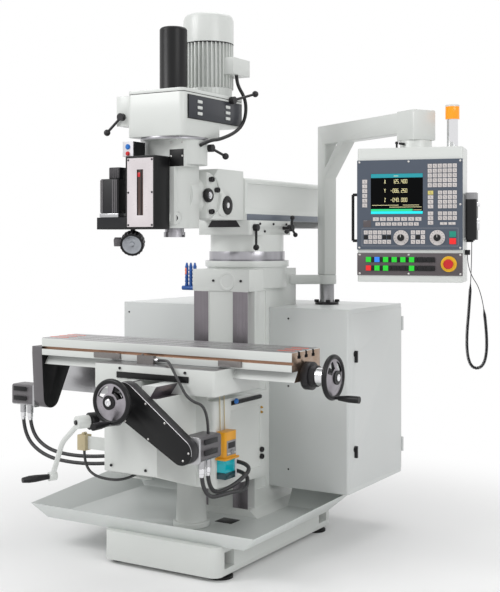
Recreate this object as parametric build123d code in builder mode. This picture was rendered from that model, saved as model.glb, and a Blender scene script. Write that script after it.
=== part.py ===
from build123d import *
import os
from math import cos, radians, sin, tan

os.makedirs("parts", exist_ok=True)

# Shared gaps
SLIDE_GAP = 0.3          # between two faces that slide or seat on each other
RUN_GAP = 0.06           # radial gap of a shaft in its bore
OVERRUN = 5.0            # how far a cut runs past the face that it opens
DOVETAIL_ANGLE = 55.0    # flank angle of every slide, degrees

# Base casting and feet
BASE_WIDTH = 616.0
BASE_LENGTH = 1078.0
BASE_HEIGHT = 130.0
BASE_CORNER = 40.0
FOOT_HEIGHT = 20.0
FOOT_RADIUS = 55.0
FOOT_RIM = 10.0
FOOT_NECK = 18.0
FOOT_INSET_X = 46.0
FOOT_INSET_Y = 99.0
STUD_RADIUS = 11.0
STUD_PLAY = 0.5
STUD_TOP = 18.0
NUT_RADIUS = 19.0
NUT_HEIGHT = 16.0
POCKET_WIDTH = 80.0
POCKET_HEIGHT = 72.0
POCKET_DEPTH = 92.0
POCKET_FLOOR = 28.0

# Chip tray
TRAY_SHEET = 4.0
TRAY_LEFT = 800.0
TRAY_RIGHT = 548.0
TRAY_FRONT = 570.0
TRAY_BACK = 330.0
TRAY_SLOPE_X = 130.0
TRAY_SLOPE_Y = 70.0
TRAY_RIM_FRONT = 215.0
TRAY_RIM_BACK = 262.0
TRAY_FIT = 0.5

# Column
COLUMN_HALF = 161.0
COLUMN_FACE = 30.0       # front of the ways, in front of the base centre
COLUMN_DEPTH = 460.0
WAY_HALF = 154.0
WAY_DEPTH = 50.0
WAY_TOP = 1218.0
CHANNEL_HALF = 68.0
CHANNEL_DEPTH = 6.0
COLUMN_HEAD_TOP = 1322.0
HEAD_DROP = 92.0
SEAT_RADIUS = 208.0
SEAT_HEIGHT = 40.0
SEAT_NECK = 10.0
SKIRT_SPREAD = 46.0
SKIRT_HEIGHT = 36.0
TURRET_Y = 216.0
RECESS_DEPTH = 5.0
RECESS_LENGTH = 84.0
RECESS_EDGE = 22.0

# Elevating screw and its pedestal
LIFT_Y = 278.0           # axis, in front of the base centre
LIFT_RADIUS = 22.0
LIFT_LENGTH = 505.0
PEDESTAL_FLANGE = 84.0
PEDESTAL_FLANGE_HEIGHT = 26.0
PEDESTAL_FOOT = 72.0
PEDESTAL_TOP = 60.0
PEDESTAL_HEIGHT = 336.0
LIFT_WELL = 34.0

# Electrical cabinet and its door
CABINET_LEFT = 728.0
CABINET_RIGHT = 587.0
CABINET_FRONT = 157.0
CABINET_DEPTH = 630.0
CABINET_BOTTOM = 272.0
CABINET_HEIGHT = 865.0
CABINET_WALL = 14.0
CABINET_CORNER = 12.0
CABINET_NOTCH_FIT = 0.5
DOOR_THICK = 18.0
DOOR_MARGIN = 26.0
DOOR_LIP = 6.0
DOOR_CORNER = 5.0
LATCH_RADIUS = 15.0
LATCH_PROUD = 7.0
LATCH_GRIP = 40.0
LATCH_GRIP_WIDTH = 12.0
LATCH_INSET = 52.0
HINGE_RADIUS = 7.0
HINGE_LENGTH = 36.0
HINGE_LEAF = 3.0
HINGE_LEAF_LENGTH = 34.0
HINGE_SHARES = (0.14, 0.86)
LATCH_LOW_SHARE = 0.235
LATCH_HIGH_SHARE = 0.755

# Pendant bracket, post and arm
POST_X = 295.0
POST_Y = 512.0
BOSS_RADIUS = 48.0
BOSS_BOTTOM = 1240.0
BOSS_HEIGHT = 46.0
BRACKET_NECK = 34.0
BRACKET_PAD_LENGTH = 110.0
BRACKET_PAD_Y = 285.0
PIPE_RADIUS = 37.0
GROMMET_RADIUS = 60.0
GROMMET_HEIGHT = 12.0
ARM_HEADING = -31.0
ARM_REACH = 749.0
ARM_HALF = 35.0
ARM_DEPTH = 95.0
ARM_TOP = 2040.0
ARM_END_HALF = 62.0
ARM_END_DROP = 40.0
GUSSET_LEG = 170.0
GUSSET_BAR = 26.0

# Pendant
PENDANT_TURN = 14.0
PENDANT_WIDTH = 462.0
PENDANT_LEFT = 244.0
PENDANT_DEPTH = 195.0
PENDANT_FRONT = 110.0
PENDANT_HEIGHT = 591.0
PENDANT_CORNER = 10.0
SWIVEL_RADIUS = 70.0
SWIVEL_HEIGHT = 36.0
FACE_THICK = 7.0
FACE_HEIGHT = 394.0
FACE_DROP = 54.0
LOWER_HEIGHT = 98.0
LOWER_RISE = 30.0
LOWER_THICK = 5.0
SCREEN_RECESS = 4.0
SCREEN_THICK = 3.0
SCREEN_LEFT_SHARE = 0.132
SCREEN_RIGHT_SHARE = 0.630
SCREEN_LOW_SHARE = 0.396
SCREEN_HIGH_SHARE = 0.848
KEY_PROUD = 2.5
KEY_PITCH_SHARE = 0.84
KEY_BLOCK_SHARES = (
    (0.672, 0.950, 0.685, 0.951, 6, 5),
    (0.672, 0.732, 0.452, 0.655, 1, 4),
    (0.768, 0.950, 0.452, 0.655, 4, 4),
    (0.672, 0.732, 0.272, 0.425, 1, 3),
    (0.768, 0.950, 0.323, 0.425, 4, 2),
    (0.784, 0.940, 0.272, 0.306, 2, 1),
    (0.047, 0.103, 0.469, 0.788, 1, 6),
    (0.149, 0.621, 0.316, 0.365, 7, 1),
    (0.175, 0.595, 0.263, 0.307, 8, 1),
    (0.063, 0.331, 0.060, 0.218, 6, 3),
    (0.513, 0.654, 0.060, 0.218, 3, 3),
    (0.872, 0.945, 0.055, 0.210, 1, 2),
)
BUTTON_COLUMNS = 8
BUTTON_ROWS = 2
BUTTON_LEFT_SHARE = 0.070
BUTTON_RIGHT_SHARE = 0.730
BUTTON_LOW_SHARE = 0.130
BUTTON_HIGH_SHARE = 0.900
BUTTON_FILL_SHARE = 0.60
BUTTON_PROUD = 6.0
KNOB_Z_SHARE = 0.133
FEED_KNOB_SHARE = 0.424
SPEED_KNOB_SHARE = 0.766
KNOB_SKIRT = 33.0
KNOB_SKIRT_THICK = 5.0
KNOB_GRIP = 15.0
KNOB_HEIGHT = 19.0
KNOB_SHAFT = 4.0
STOP_U_SHARE = 0.872
STOP_Z_SHARE = 0.52
STOP_COLLAR = 34.0
STOP_COLLAR_HEIGHT = 9.0
STOP_STEM = 11.0
STOP_TRAVEL = 8.0
STOP_HEAD = 21.0
STOP_HEAD_HEIGHT = 15.0
BEACON_U = 161.0
BEACON_RADIUS = 31.0
BEACON_PIPE_SHARE = 0.80
BEACON_STEM = 127.0
BEACON_LENS = 65.0
HANDLE_ROD = 6.5
HANDLE_LENGTH = 206.0
HANDLE_STAND = 30.0
HANDLE_LOW = 182.0
HANDLE_V = 60.0
HANDLE_V_RIGHT = 45.0
PULSE_THICK = 48.0
PULSE_WIDTH = 78.0
PULSE_LENGTH = 205.0
PULSE_LOW = 186.0
PULSE_FRONT = 88.0
PULSE_HOLDER = 8.0
PULSE_CORNER = 10.0
PULSE_DIAL = 27.0
PULSE_DIAL_THICK = 9.0
PULSE_KNOB = 9.0
PULSE_CORD = 15.0
PULSE_CLIP = 22.0

# Knee
KNEE_TOP = 800.0
KNEE_HALF = 240.0
KNEE_BACK_GAP = 0.4
KNEE_WIDE_FRONT = 450.0  # front of the wide block, in front of the base centre
KNEE_FRONT = 740.0
KNEE_JAW = 44.0
NOSE_HALF = 139.0
KNEE_BOTTOM_BACK = 357.0
KNEE_BOTTOM_STEP = 378.0
KNEE_BOTTOM_FRONT = 474.0
KNEE_WALL = 26.0
KNEE_CEILING = 700.0
KNEE_WAY_DROP = 40.0
KNEE_WAY_HALF = 200.0
KNEE_DOVETAIL = 50.0
KNEE_DOVETAIL_HALF = 136.0
TROUGH_HALF = 60.0
TROUGH_DEPTH = 105.0
KNEE_CORNER = 22.0
PANEL_DEPTH = 7.0
PANEL_BORDER = 34.0
RAIL_LENGTH = 250.0
RAIL_HEIGHT = 16.0
RAIL_PROUD = 12.0
RAIL_Z = 745.0

# Crank
CRANK_TURN = 23.0
CRANK_X = 139.0
CRANK_Y = 900.0
CRANK_Z = 703.0
CRANK_HUB = 27.0
CRANK_HUB_BACK = 38.0
CRANK_HUB_FRONT = 17.0
CRANK_BOSS = 32.0
CRANK_BOSS_START = 72.0
CRANK_BOSS_LENGTH = 190.0
CRANK_DIAL = 36.0
CRANK_DIAL_LENGTH = 30.0
CRANK_SHAFT = 14.0
CRANK_ROD = 11.0
CRANK_OUT = 169.0
CRANK_DOWN = 249.0
CRANK_DISH = 45.0        # how far the arm leans out, to pass in front of the handwheel's grip
CRANK_MID_OUT_SHARE = 0.44
CRANK_MID_DOWN_SHARE = 0.36
CRANK_BEND = 120.0
CRANK_EYE = 19.0
CRANK_EYE_LENGTH = 34.0
CRANK_PIN = 7.0
GRIP_LENGTH = 120.0
GRIP_RADIUS = 15.0
GRIP_WAIST = 11.0

# Saddle
SADDLE_HALF = 323.0
SADDLE_FRONT = 584.0
SADDLE_DEPTH = 378.0
SADDLE_HEIGHT = 110.4
SADDLE_CORNER = 14.0
NUT_HALF = 36.0
X_NUT_HALF = 29.0
X_NUT_CAP = 4.0
Y_NUT_DROP = 30.0
NUT_LENGTH = 70.0
NUT_PLAY = 0.3
WIPER_HALF = 193.0
WIPER_THICK = 4.0
WIPER_LOW = 52.0
WIPER_HEIGHT = 27.0
CARRIER_LENGTH = 537.0
CARRIER_DEPTH = 45.0
CARRIER_BACK = 150.0
CARRIER_LOW = 703.0
CARRIER_HEIGHT = 137.0
CARRIER_ARM = 60.0
SWITCH_LEFT = 149.0
SWITCH_LENGTH = 89.0
SWITCH_DEPTH = 25.0
SWITCH_HEIGHT = 34.0
SWITCH_GAP = 14.0
PLUNGER_RADIUS = 5.0
PLUNGER_LENGTH = 7.0

# Table
TABLE_LEFT = 748.0
TABLE_LENGTH = 1372.0
TABLE_DEPTH = 254.0
TABLE_FRONT = 456.0
TABLE_THICK = 83.0
TABLE_DOVETAIL = 46.0
TABLE_DOVETAIL_HALF = 107.0
TABLE_TROUGH_HALF = 34.0
TABLE_TROUGH_DEPTH = 42.0
SLOT_COUNT = 3
SLOT_PITCH = 64.0
SLOT_WIDTH = 16.0
SLOT_NECK = 18.0
SLOT_FOOT = 28.0
SLOT_FOOT_HEIGHT = 13.0
DOG_GROOVE = 11.0
DOG_GROOVE_DEPTH = 10.0
DOG_GROOVE_Z = 30.0
DOG_PROUD = 10.0
DOG_HEIGHT = 26.0
DOG_LOW = 6.0
DOG_LEFT_SHARES = (0.238, 0.349)
DOG_RIGHT_SHARES = (0.738, 0.823)
TABLE_EDGE = 3.0
SCREW_RADIUS = 15.0
X_SCREW_DROP = 25.0
Y_SCREW_DROP = 7.0

# Table drive
COVER_THICK = 62.0
COVER_TOP_DROP = 44.0
COVER_BACK = 210.0
X_MOTOR_Y = 385.0
X_MOTOR_Z = 705.0
X_COVER_ROUND = 58.0
SERVO_SIDE = 100.0
SERVO_FLANGE = 112.0
SERVO_FLANGE_THICK = 12.0
X_SERVO_LENGTH = 150.0
SERVO_CORNER = 12.0
SERVO_BACK = 40.0
PLUG_RADIUS = 15.0
PLUG_DROP = 44.0
PLUG_INSET = 28.0
PLUG_PITCH = 46.0
BEARING_RADIUS = 60.0
BEARING_STEP = 46.0
BEARING_PLATE = 34.0
BEARING_LENGTH = 58.0

# Handwheels
WHEEL_RADIUS = 97.0
WHEEL_RIM = 11.0
WHEEL_HUB = 30.0
WHEEL_HUB_LENGTH = 44.0
WHEEL_DIAL = 40.0
WHEEL_DIAL_LENGTH = 48.0
WHEEL_WEB = 7.0
WHEEL_DISH = 22.0
WHEEL_WINDOW_IN = 38.0
WHEEL_WINDOW_ARC = 58.0
WHEEL_WINDOW_TURN = 37.0
WHEEL_GRIP_STEM = 6.0
WHEEL_GRIP_LENGTH = 96.0
WHEEL_GRIP_RADIUS = 15.0
WHEEL_GRIP_NECK = 14.0

# Cross-slide drive on the knee
Y_COVER_THICK = 55.0
Y_COVER_ROUND = 75.0
Y_COVER_LOW_ROUND = 54.0
Y_MOTOR_X = 295.0
Y_MOTOR_Z = 602.0
Y_SERVO_LENGTH = 175.0

# Lubricator and knee switch
PUMP_THICK = 50.0
PUMP_FRONT = 445.0
PUMP_DEPTH = 95.0
PUMP_LOW = 510.0
PUMP_HEIGHT = 118.0
RESERVOIR_DEPTH = 76.0
RESERVOIR_THICK = 44.0
RESERVOIR_HEIGHT = 86.0
GAUGE_RADIUS = 9.0
GAUGE_HEIGHT = 8.0
KNEE_SWITCH_X = 270.0
KNEE_SWITCH_Y = 715.0
KNEE_SWITCH_SIDE = 44.0
KNEE_SWITCH_LOW = 545.0
KNEE_SWITCH_HEIGHT = 67.0
KNEE_SWITCH_PLATE = 6.0
KNEE_SWITCH_ROLLER = 7.0

# Turret and ram
DRUM_RADIUS = 188.0
DRUM_RING = 45.0
DRUM_HEIGHT = 126.0
DRUM_WAIST = 6.0
RAIL_HALF = 150.0
RAIL_FRONT = 0.0
RAIL_BACK = 400.0
RAIL_BLOCK = 69.0
RAM_HALF = 120.0
RAM_FLANGE_HALF = 130.0
RAM_FLANGE = 31.0
RAM_HEIGHT = 202.0
RAM_BACK = 900.0
RAM_DOVETAIL = 33.0
RAM_DOVETAIL_HALF = 93.0
RAM_EDGE = 14.0
RAM_SIDE_RECESS = 6.0
RAM_RECESS_LOW = 62.0
RAM_RECESS_HIGH = 26.0
RAM_RECESS_START = 24.0
BLOCK_HALF = 110.0
BLOCK_FRONT = 280.0
BLOCK_TOP = 1790.0
BLOCK_CHAMFER = 60.0
BLOCK_PLATE = 52.0
BLOCK_PLATE_PROUD = 6.0
BLOCK_PLATE_Y = 187.0
BLOCK_PLATE_Z = 1624.0
LEVER_HUB = 17.0
LEVER_HUB_LENGTH = 22.0
LEVER_ROD = 6.0
LEVER_BALL = 15.0
CLAMP_Y = 34.0
CLAMP_LENGTH = 95.0
PINION_Y = 317.0
PINION_LENGTH = 52.0
PINION_HUB_LENGTH = 56.0
PINION_SPOKES = 3
PINION_FIRST = 200.0
PINION_DROP = 35.0

# Knuckle and head
NOD_Y = 310.0
NOD_Z = 1665.0
KNUCKLE_RADIUS = 105.0
KNUCKLE_FIT = 0.4
KNUCKLE_HALF = 104.0
KNUCKLE_FACE = 345.0
KNUCKLE_DISC = 100.0
KNUCKLE_BOLT = 11.0
KNUCKLE_BOLT_PROUD = 8.0
KNUCKLE_BOLT_CIRCLE = 78.0
KNUCKLE_BOLT_ANGLES = (70.0, 20.0, -70.0)
KNUCKLE_HUB = 24.0
KNUCKLE_HUB_PROUD = 12.0
SPINDLE_Y = 414.0
HEAD_RADIUS = 87.0
HEAD_BOTTOM = 1515.0
HEAD_STEP = 1797.0
HEAD_TOP = 1905.0
HEAD_UPPER_HALF = 150.0
HEAD_UPPER_BACK = 310.0
HEAD_UPPER_FRONT = 500.0
HEAD_UPPER_CORNER = 90.0
HEAD_RING = 152.0
HEAD_RING_HEIGHT = 12.0
HEAD_PAD_HALF = 60.0
HEAD_PLATE = 75.0
HEAD_PLATE_PROUD = 5.0
HEAD_PLATE_X = 75.0
HEAD_PLATE_Z = 1824.0
QUILL_RADIUS = 43.0
QUILL_LENGTH = 250.0
QUILL_LIP = 16.0
SPINDLE_NOSE = 48.0
SPINDLE_NOSE_HEIGHT = 23.0
SPINDLE_SHAFT = 28.0
SPINDLE_SHAFT_LENGTH = 235.0
SPINDLE_BORE = 12.7
SPINDLE_BORE_DEPTH = 90.0
SPINDLE_KEY_WIDTH = 16.0
SPINDLE_KEY_DEPTH = 9.0

# Belt housing, motor and drawbar cover
HOUSING_HALF = 152.0
HOUSING_FRONT = 566.0
HOUSING_BACK = 64.0
HOUSING_HEIGHT = 205.0
HOUSING_STEP = 68.0
HOUSING_STEP_Y = 277.0
HOUSING_CORNER = 24.0
HOUSING_LID = 14.0
HOUSING_LID_GROOVE = 3.0
LOUVRE_THICK = 5.0
LOUVRE_FRONT = 534.0
LOUVRE_BACK = 91.0
LOUVRE_LOW = 74.0
LOUVRE_HEIGHT = 104.0
LOUVRE_COUNT = 7
LOUVRE_SLOT = 8.0
LOUVRE_SLOT_DEPTH = 3.0
LOUVRE_START_SHARE = 0.08
LOUVRE_END_SHARE = 0.44
SIDE_BOX_X = 224.0
SIDE_BOX_FRONT = 545.0
SIDE_BOX_DEPTH = 90.0
SIDE_BOX_LOW = 56.0
SIDE_BOX_HEIGHT = 133.0
MOTOR_Y = 135.0
MOTOR_RADIUS = 111.0
MOTOR_CORE = 98.0
MOTOR_FLANGE_HEIGHT = 48.0
MOTOR_FIN_HEIGHT = 212.0
MOTOR_FINS = 36
MOTOR_FIN_THICK = 5.0
MOTOR_COVER_RADIUS = 116.0
MOTOR_COVER_HEIGHT = 136.0
MOTOR_COVER_ROUND = 22.0
TERMINAL_X = 158.0
TERMINAL_FRONT = 168.0
TERMINAL_BACK = 20.0
TERMINAL_LOW = 109.0
TERMINAL_HEIGHT = 77.0
DRAWBAR_Y = 422.0
DRAWBAR_RADIUS = 62.0
DRAWBAR_HEIGHT = 292.0
DRAWBAR_FLANGE = 72.0
DRAWBAR_FLANGE_HEIGHT = 14.0

# Quill drive, lamp and levers
ZBOX_LEFT = 118.0
ZBOX_RIGHT = 38.0
ZBOX_FRONT = 618.0
ZBOX_BACK = 503.0
ZBOX_LOW = 1510.0
ZBOX_HEIGHT = 320.0
ZBOX_PLATE = 8.0
ZBOX_CORNER = 5.0
ZBOX_WINDOW_WIDTH = 34.0
ZBOX_WINDOW_HEIGHT = 200.0
ZBOX_WINDOW_DEPTH = 5.0
ZBOX_WINDOW_LOW = 60.0
ZBELT_LEFT = 285.0
ZBELT_HEIGHT = 53.0
ZSERVO_X = 217.0
ZSERVO_Y = 560.0
ZSERVO_HEIGHT = 171.0
ZSWITCH_LEFT = 148.0
ZSWITCH_RIGHT = 90.0
ZSWITCH_HEIGHT = 66.0
LAMP_X = 131.0
LAMP_Y = 548.0
LAMP_Z = 1455.0
LAMP_RADIUS = 52.0
LAMP_DEPTH = 46.0
LAMP_BACK_RADIUS = 30.0
LAMP_BACK_LENGTH = 46.0
LAMP_LENS_DEPTH = 8.0
LAMP_LENS_LIP = 6.0
LAMP_TURN = 28.0
LAMP_TIP = 22.0
LAMP_STEM = 11.0
LEFT_LEVER_X = 190.0
LEFT_LEVER_Z = 2012.0
LEFT_LEVER_OUT = 80.0
LEFT_LEVER_DOWN = 66.0
RIGHT_LEVER_Y = 187.0
RIGHT_LEVER_Z = 2104.0
RIGHT_LEVER_OUT = 30.0
RIGHT_LEVER_RISE = 41.0
RIGHT_LEVER_BACK = 131.0
BRAKE_Y = 360.0
BRAKE_Z = 1872.0
BRAKE_OUT = 30.0
BRAKE_DROP = 34.0
BRAKE_BACK = 55.0

# Coolant nozzles
NOZZLE_Y = 34.0
NOZZLE_Z = 1226.0
NOZZLE_COUNT = 3
NOZZLE_PITCH = 24.0
NOZZLE_FIRST = 30.0
NOZZLE_BEADS = 5
NOZZLE_BEAD = 18.0
NOZZLE_BEAD_RADIUS = 10.0
NOZZLE_WAIST = 7.5
NOZZLE_TIP = 24.0
NOZZLE_BAR = 11.0

# Cords
CONDUIT = 18.0
SWITCH_CORD = 12.0
MOTOR_CORD = 16.0

# Values that follow
BASE_TOP = FOOT_HEIGHT + BASE_HEIGHT
TRAY_TOP = BASE_TOP + TRAY_SHEET
TRAY_RIM_TOP = TRAY_RIM_BACK + OVERRUN
COLUMN_BACK = COLUMN_DEPTH - COLUMN_FACE
WAY_BACK = WAY_DEPTH - COLUMN_FACE
WAY_LEAN = WAY_DEPTH / tan(radians(DOVETAIL_ANGLE))
CABINET_TOP = CABINET_BOTTOM + CABINET_HEIGHT
CABINET_BACK = CABINET_FRONT + CABINET_DEPTH
DOOR_FACE = CABINET_RIGHT - DOOR_THICK
HINGE_Y = CABINET_BACK + HINGE_RADIUS + SLIDE_GAP
SEAT_TOP = COLUMN_HEAD_TOP + SEAT_HEIGHT
BOSS_TOP = BOSS_BOTTOM + BOSS_HEIGHT
SADDLE_BOTTOM = KNEE_TOP + SLIDE_GAP
SADDLE_TOP = SADDLE_BOTTOM + SADDLE_HEIGHT
SADDLE_BACK = SADDLE_FRONT - SADDLE_DEPTH
TABLE_BOTTOM = SADDLE_TOP + SLIDE_GAP
TABLE_TOP = TABLE_BOTTOM + TABLE_THICK
TABLE_RIGHT = TABLE_LENGTH - TABLE_LEFT
TABLE_BACK = TABLE_FRONT - TABLE_DEPTH
TABLE_MID = TABLE_FRONT - TABLE_DEPTH / 2
KNEE_RAIL_TOP = KNEE_TOP + KNEE_DOVETAIL
KNEE_LEAN = KNEE_DOVETAIL / tan(radians(DOVETAIL_ANGLE))
TABLE_LEAN = TABLE_DOVETAIL / tan(radians(DOVETAIL_ANGLE))
RAM_LEAN = RAM_DOVETAIL / tan(radians(DOVETAIL_ANGLE))
X_SCREW_Z = TABLE_BOTTOM - X_SCREW_DROP
Y_SCREW_Z = KNEE_TOP - Y_SCREW_DROP
FLANK_GAP = SLIDE_GAP / sin(radians(DOVETAIL_ANGLE))
Y_COVER_FRONT = KNEE_FRONT + Y_COVER_THICK
TURRET_BOTTOM = SEAT_TOP + SLIDE_GAP
DRUM_TOP = TURRET_BOTTOM + DRUM_HEIGHT
RAIL_TOP = DRUM_TOP + RAIL_BLOCK
RAM_BOTTOM = RAIL_TOP + SLIDE_GAP
RAM_TOP = RAM_BOTTOM + RAM_HEIGHT
HOUSING_BOTTOM = HEAD_TOP + HEAD_RING_HEIGHT
HOUSING_TOP = HOUSING_BOTTOM + HOUSING_HEIGHT
HEAD_FACE = KNUCKLE_FACE + SLIDE_GAP
ARM_BOTTOM = ARM_TOP - ARM_DEPTH
ARM_END_BOTTOM = ARM_BOTTOM - ARM_END_DROP
PENDANT_TOP = ARM_END_BOTTOM - SLIDE_GAP - SWIVEL_HEIGHT
PENDANT_BOTTOM = PENDANT_TOP - PENDANT_HEIGHT
FACE_TOP = PENDANT_TOP - FACE_DROP
FACE_BOTTOM = FACE_TOP - FACE_HEIGHT
FACE_FRONT = PENDANT_FRONT + FACE_THICK
LOWER_BOTTOM = PENDANT_BOTTOM + LOWER_RISE
LOWER_FRONT = PENDANT_FRONT + LOWER_THICK
PENDANT_RIGHT = PENDANT_WIDTH - PENDANT_LEFT
ARM_X = POST_X + ARM_REACH * cos(radians(ARM_HEADING))
ARM_Y = POST_Y + ARM_REACH * sin(radians(ARM_HEADING))

ARM_SIDE = Plane((POST_X, POST_Y, 0), x_dir=(cos(radians(ARM_HEADING)), sin(radians(ARM_HEADING)), 0),
                 z_dir=(sin(radians(ARM_HEADING)), -cos(radians(ARM_HEADING)), 0))
PENDANT = Plane((ARM_X, ARM_Y, 0), x_dir=(cos(radians(PENDANT_TURN)), sin(radians(PENDANT_TURN)), 0),
                z_dir=(0, 0, 1))
CRANK = Plane((-CRANK_X, -CRANK_Y, CRANK_Z),
              x_dir=(cos(radians(CRANK_TURN)), -sin(radians(CRANK_TURN)), 0),
              z_dir=(-sin(radians(CRANK_TURN)), -cos(radians(CRANK_TURN)), 0))
SIDE = Plane((0, 0, 0), x_dir=(0, 1, 0), z_dir=(1, 0, 0))
FRONT = Plane((0, 0, 0), x_dir=(1, 0, 0), z_dir=(0, -1, 0))


def write(builder, name):
    builder.part.label = name
    export_step(builder.part, "parts/" + name + ".step")


def span(x, y, z, mode=Mode.ADD):
    with Locations(((x[0] + x[1]) / 2, (y[0] + y[1]) / 2, (z[0] + z[1]) / 2)):
        Box(x[1] - x[0], y[1] - y[0], z[1] - z[0], mode=mode)


def rod_x(x, y, z, radius, mode=Mode.ADD):
    with Locations(((x[0] + x[1]) / 2, y, z)):
        Cylinder(radius, x[1] - x[0], rotation=(0, 90, 0), mode=mode)


def rod_y(x, y, z, radius, mode=Mode.ADD):
    with Locations((x, (y[0] + y[1]) / 2, z)):
        Cylinder(radius, y[1] - y[0], rotation=(90, 0, 0), mode=mode)


def rod_z(x, y, z, radius, mode=Mode.ADD):
    with Locations((x, y, (z[0] + z[1]) / 2)):
        Cylinder(radius, z[1] - z[0], mode=mode)


def lever(start, end, rod, ball):
    reach = Vector(end) - Vector(start)
    along = Plane(start, z_dir=reach)
    with Locations(along.location):
        Cylinder(rod, reach.length, align=(Align.CENTER, Align.CENTER, Align.MIN))
    with Locations(along.offset(reach.length).location):
        Sphere(ball)


def bend_radii(points):
    radii = []
    for before, here, after in zip(points, points[1:], points[2:]):
        back = Vector(before) - Vector(here)
        ahead = Vector(after) - Vector(here)
        half_turn = radians((180 - back.get_angle(ahead)) / 2)
        radii.append(0.45 * min(back.length, ahead.length) / tan(half_turn))
    return radii


def cord(points, diameter):
    radii = bend_radii(points)
    print("cord", diameter, "smallest bend", round(min(radii)))
    with BuildPart() as tube:
        with BuildLine() as route:
            FilletPolyline(*points, radius=radii)
        with BuildSketch(Plane(points[0], z_dir=route.line % 0)):
            Circle(diameter / 2)
        sweep()
    return tube.part


# Base
with BuildPart() as base_casting:
    with BuildSketch(Plane.XY.offset(FOOT_HEIGHT)):
        RectangleRounded(BASE_WIDTH, BASE_LENGTH, BASE_CORNER)
    extrude(amount=BASE_HEIGHT)
    for side in (1, -1):
        for end in (1, -1):
            middle = end * (BASE_LENGTH / 2 - FOOT_INSET_Y)
            inner = side * (BASE_WIDTH / 2 - POCKET_DEPTH)
            outer = side * (BASE_WIDTH / 2 + OVERRUN)
            span((min(inner, outer), max(inner, outer)),
                 (middle - POCKET_WIDTH / 2, middle + POCKET_WIDTH / 2),
                 (FOOT_HEIGHT + POCKET_FLOOR, FOOT_HEIGHT + POCKET_FLOOR + POCKET_HEIGHT), Mode.SUBTRACT)
            rod_z(side * (BASE_WIDTH / 2 - FOOT_INSET_X), middle, (0, FOOT_HEIGHT + POCKET_FLOOR + OVERRUN),
                  STUD_RADIUS + STUD_PLAY, Mode.SUBTRACT)
    rod_z(0, -LIFT_Y, (0, BASE_TOP + OVERRUN), LIFT_WELL, Mode.SUBTRACT)
write(base_casting, "base_casting")

with BuildPart() as levelling_feet:
    with GridLocations(BASE_WIDTH - 2 * FOOT_INSET_X, BASE_LENGTH - 2 * FOOT_INSET_Y, 2, 2):
        with Locations((0, 0, FOOT_RIM / 2)):
            Cylinder(FOOT_RADIUS, FOOT_RIM)
        with Locations((0, 0, (FOOT_RIM + FOOT_HEIGHT) / 2)):
            Cone(FOOT_RADIUS, FOOT_NECK, FOOT_HEIGHT - FOOT_RIM)
        with Locations((0, 0, FOOT_HEIGHT)):
            Cylinder(STUD_RADIUS, POCKET_FLOOR + NUT_HEIGHT + STUD_TOP,
                     align=(Align.CENTER, Align.CENTER, Align.MIN))
    with BuildSketch(Plane.XY.offset(FOOT_HEIGHT + POCKET_FLOOR)):
        with GridLocations(BASE_WIDTH - 2 * FOOT_INSET_X, BASE_LENGTH - 2 * FOOT_INSET_Y, 2, 2):
            RegularPolygon(NUT_RADIUS, 6)
    extrude(amount=NUT_HEIGHT)
write(levelling_feet, "levelling_feet")

TRAY_MID_X = (TRAY_RIGHT - TRAY_LEFT) / 2
TRAY_MID_Y = (TRAY_BACK - TRAY_FRONT) / 2
TRAY_RIM_SLOPE = (TRAY_RIM_BACK - TRAY_RIM_FRONT) / (TRAY_BACK + TRAY_FRONT)
with BuildPart() as chip_tray:
    with BuildSketch(Plane.XY.offset(BASE_TOP)):
        with Locations((TRAY_MID_X, TRAY_MID_Y)):
            Rectangle(TRAY_LEFT + TRAY_RIGHT - 2 * TRAY_SLOPE_X, TRAY_FRONT + TRAY_BACK - 2 * TRAY_SLOPE_Y)
    with BuildSketch(Plane.XY.offset(TRAY_RIM_TOP)):
        with Locations((TRAY_MID_X, TRAY_MID_Y)):
            Rectangle(TRAY_LEFT + TRAY_RIGHT, TRAY_FRONT + TRAY_BACK)
    loft()
    with BuildSketch(Plane.XY.offset(TRAY_TOP)):
        with Locations((TRAY_MID_X, TRAY_MID_Y)):
            Rectangle(TRAY_LEFT + TRAY_RIGHT - 2 * TRAY_SLOPE_X - TRAY_SHEET,
                      TRAY_FRONT + TRAY_BACK - 2 * TRAY_SLOPE_Y - TRAY_SHEET)
    with BuildSketch(Plane.XY.offset(TRAY_RIM_TOP)):
        with Locations((TRAY_MID_X, TRAY_MID_Y)):
            Rectangle(TRAY_LEFT + TRAY_RIGHT - 2 * TRAY_SHEET, TRAY_FRONT + TRAY_BACK - 2 * TRAY_SHEET)
    loft(mode=Mode.SUBTRACT)
    with BuildSketch(SIDE):
        with BuildLine():
            Polyline((-TRAY_FRONT - OVERRUN, TRAY_RIM_FRONT - OVERRUN * TRAY_RIM_SLOPE),
                     (TRAY_BACK + OVERRUN, TRAY_RIM_BACK + OVERRUN * TRAY_RIM_SLOPE),
                     (TRAY_BACK + OVERRUN, TRAY_RIM_TOP + OVERRUN),
                     (-TRAY_FRONT - OVERRUN, TRAY_RIM_TOP + OVERRUN), close=True)
        make_face()
    extrude(amount=TRAY_LEFT + OVERRUN, both=True, mode=Mode.SUBTRACT)
    span((-COLUMN_HALF - SKIRT_SPREAD - TRAY_FIT, COLUMN_HALF + SKIRT_SPREAD + TRAY_FIT),
         (-COLUMN_FACE - TRAY_FIT, TRAY_BACK + OVERRUN), (FOOT_HEIGHT, TRAY_RIM_TOP), Mode.SUBTRACT)
    rod_z(0, -LIFT_Y, (BASE_TOP - OVERRUN, TRAY_TOP + OVERRUN), LIFT_WELL, Mode.SUBTRACT)
write(chip_tray, "chip_tray")

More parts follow.
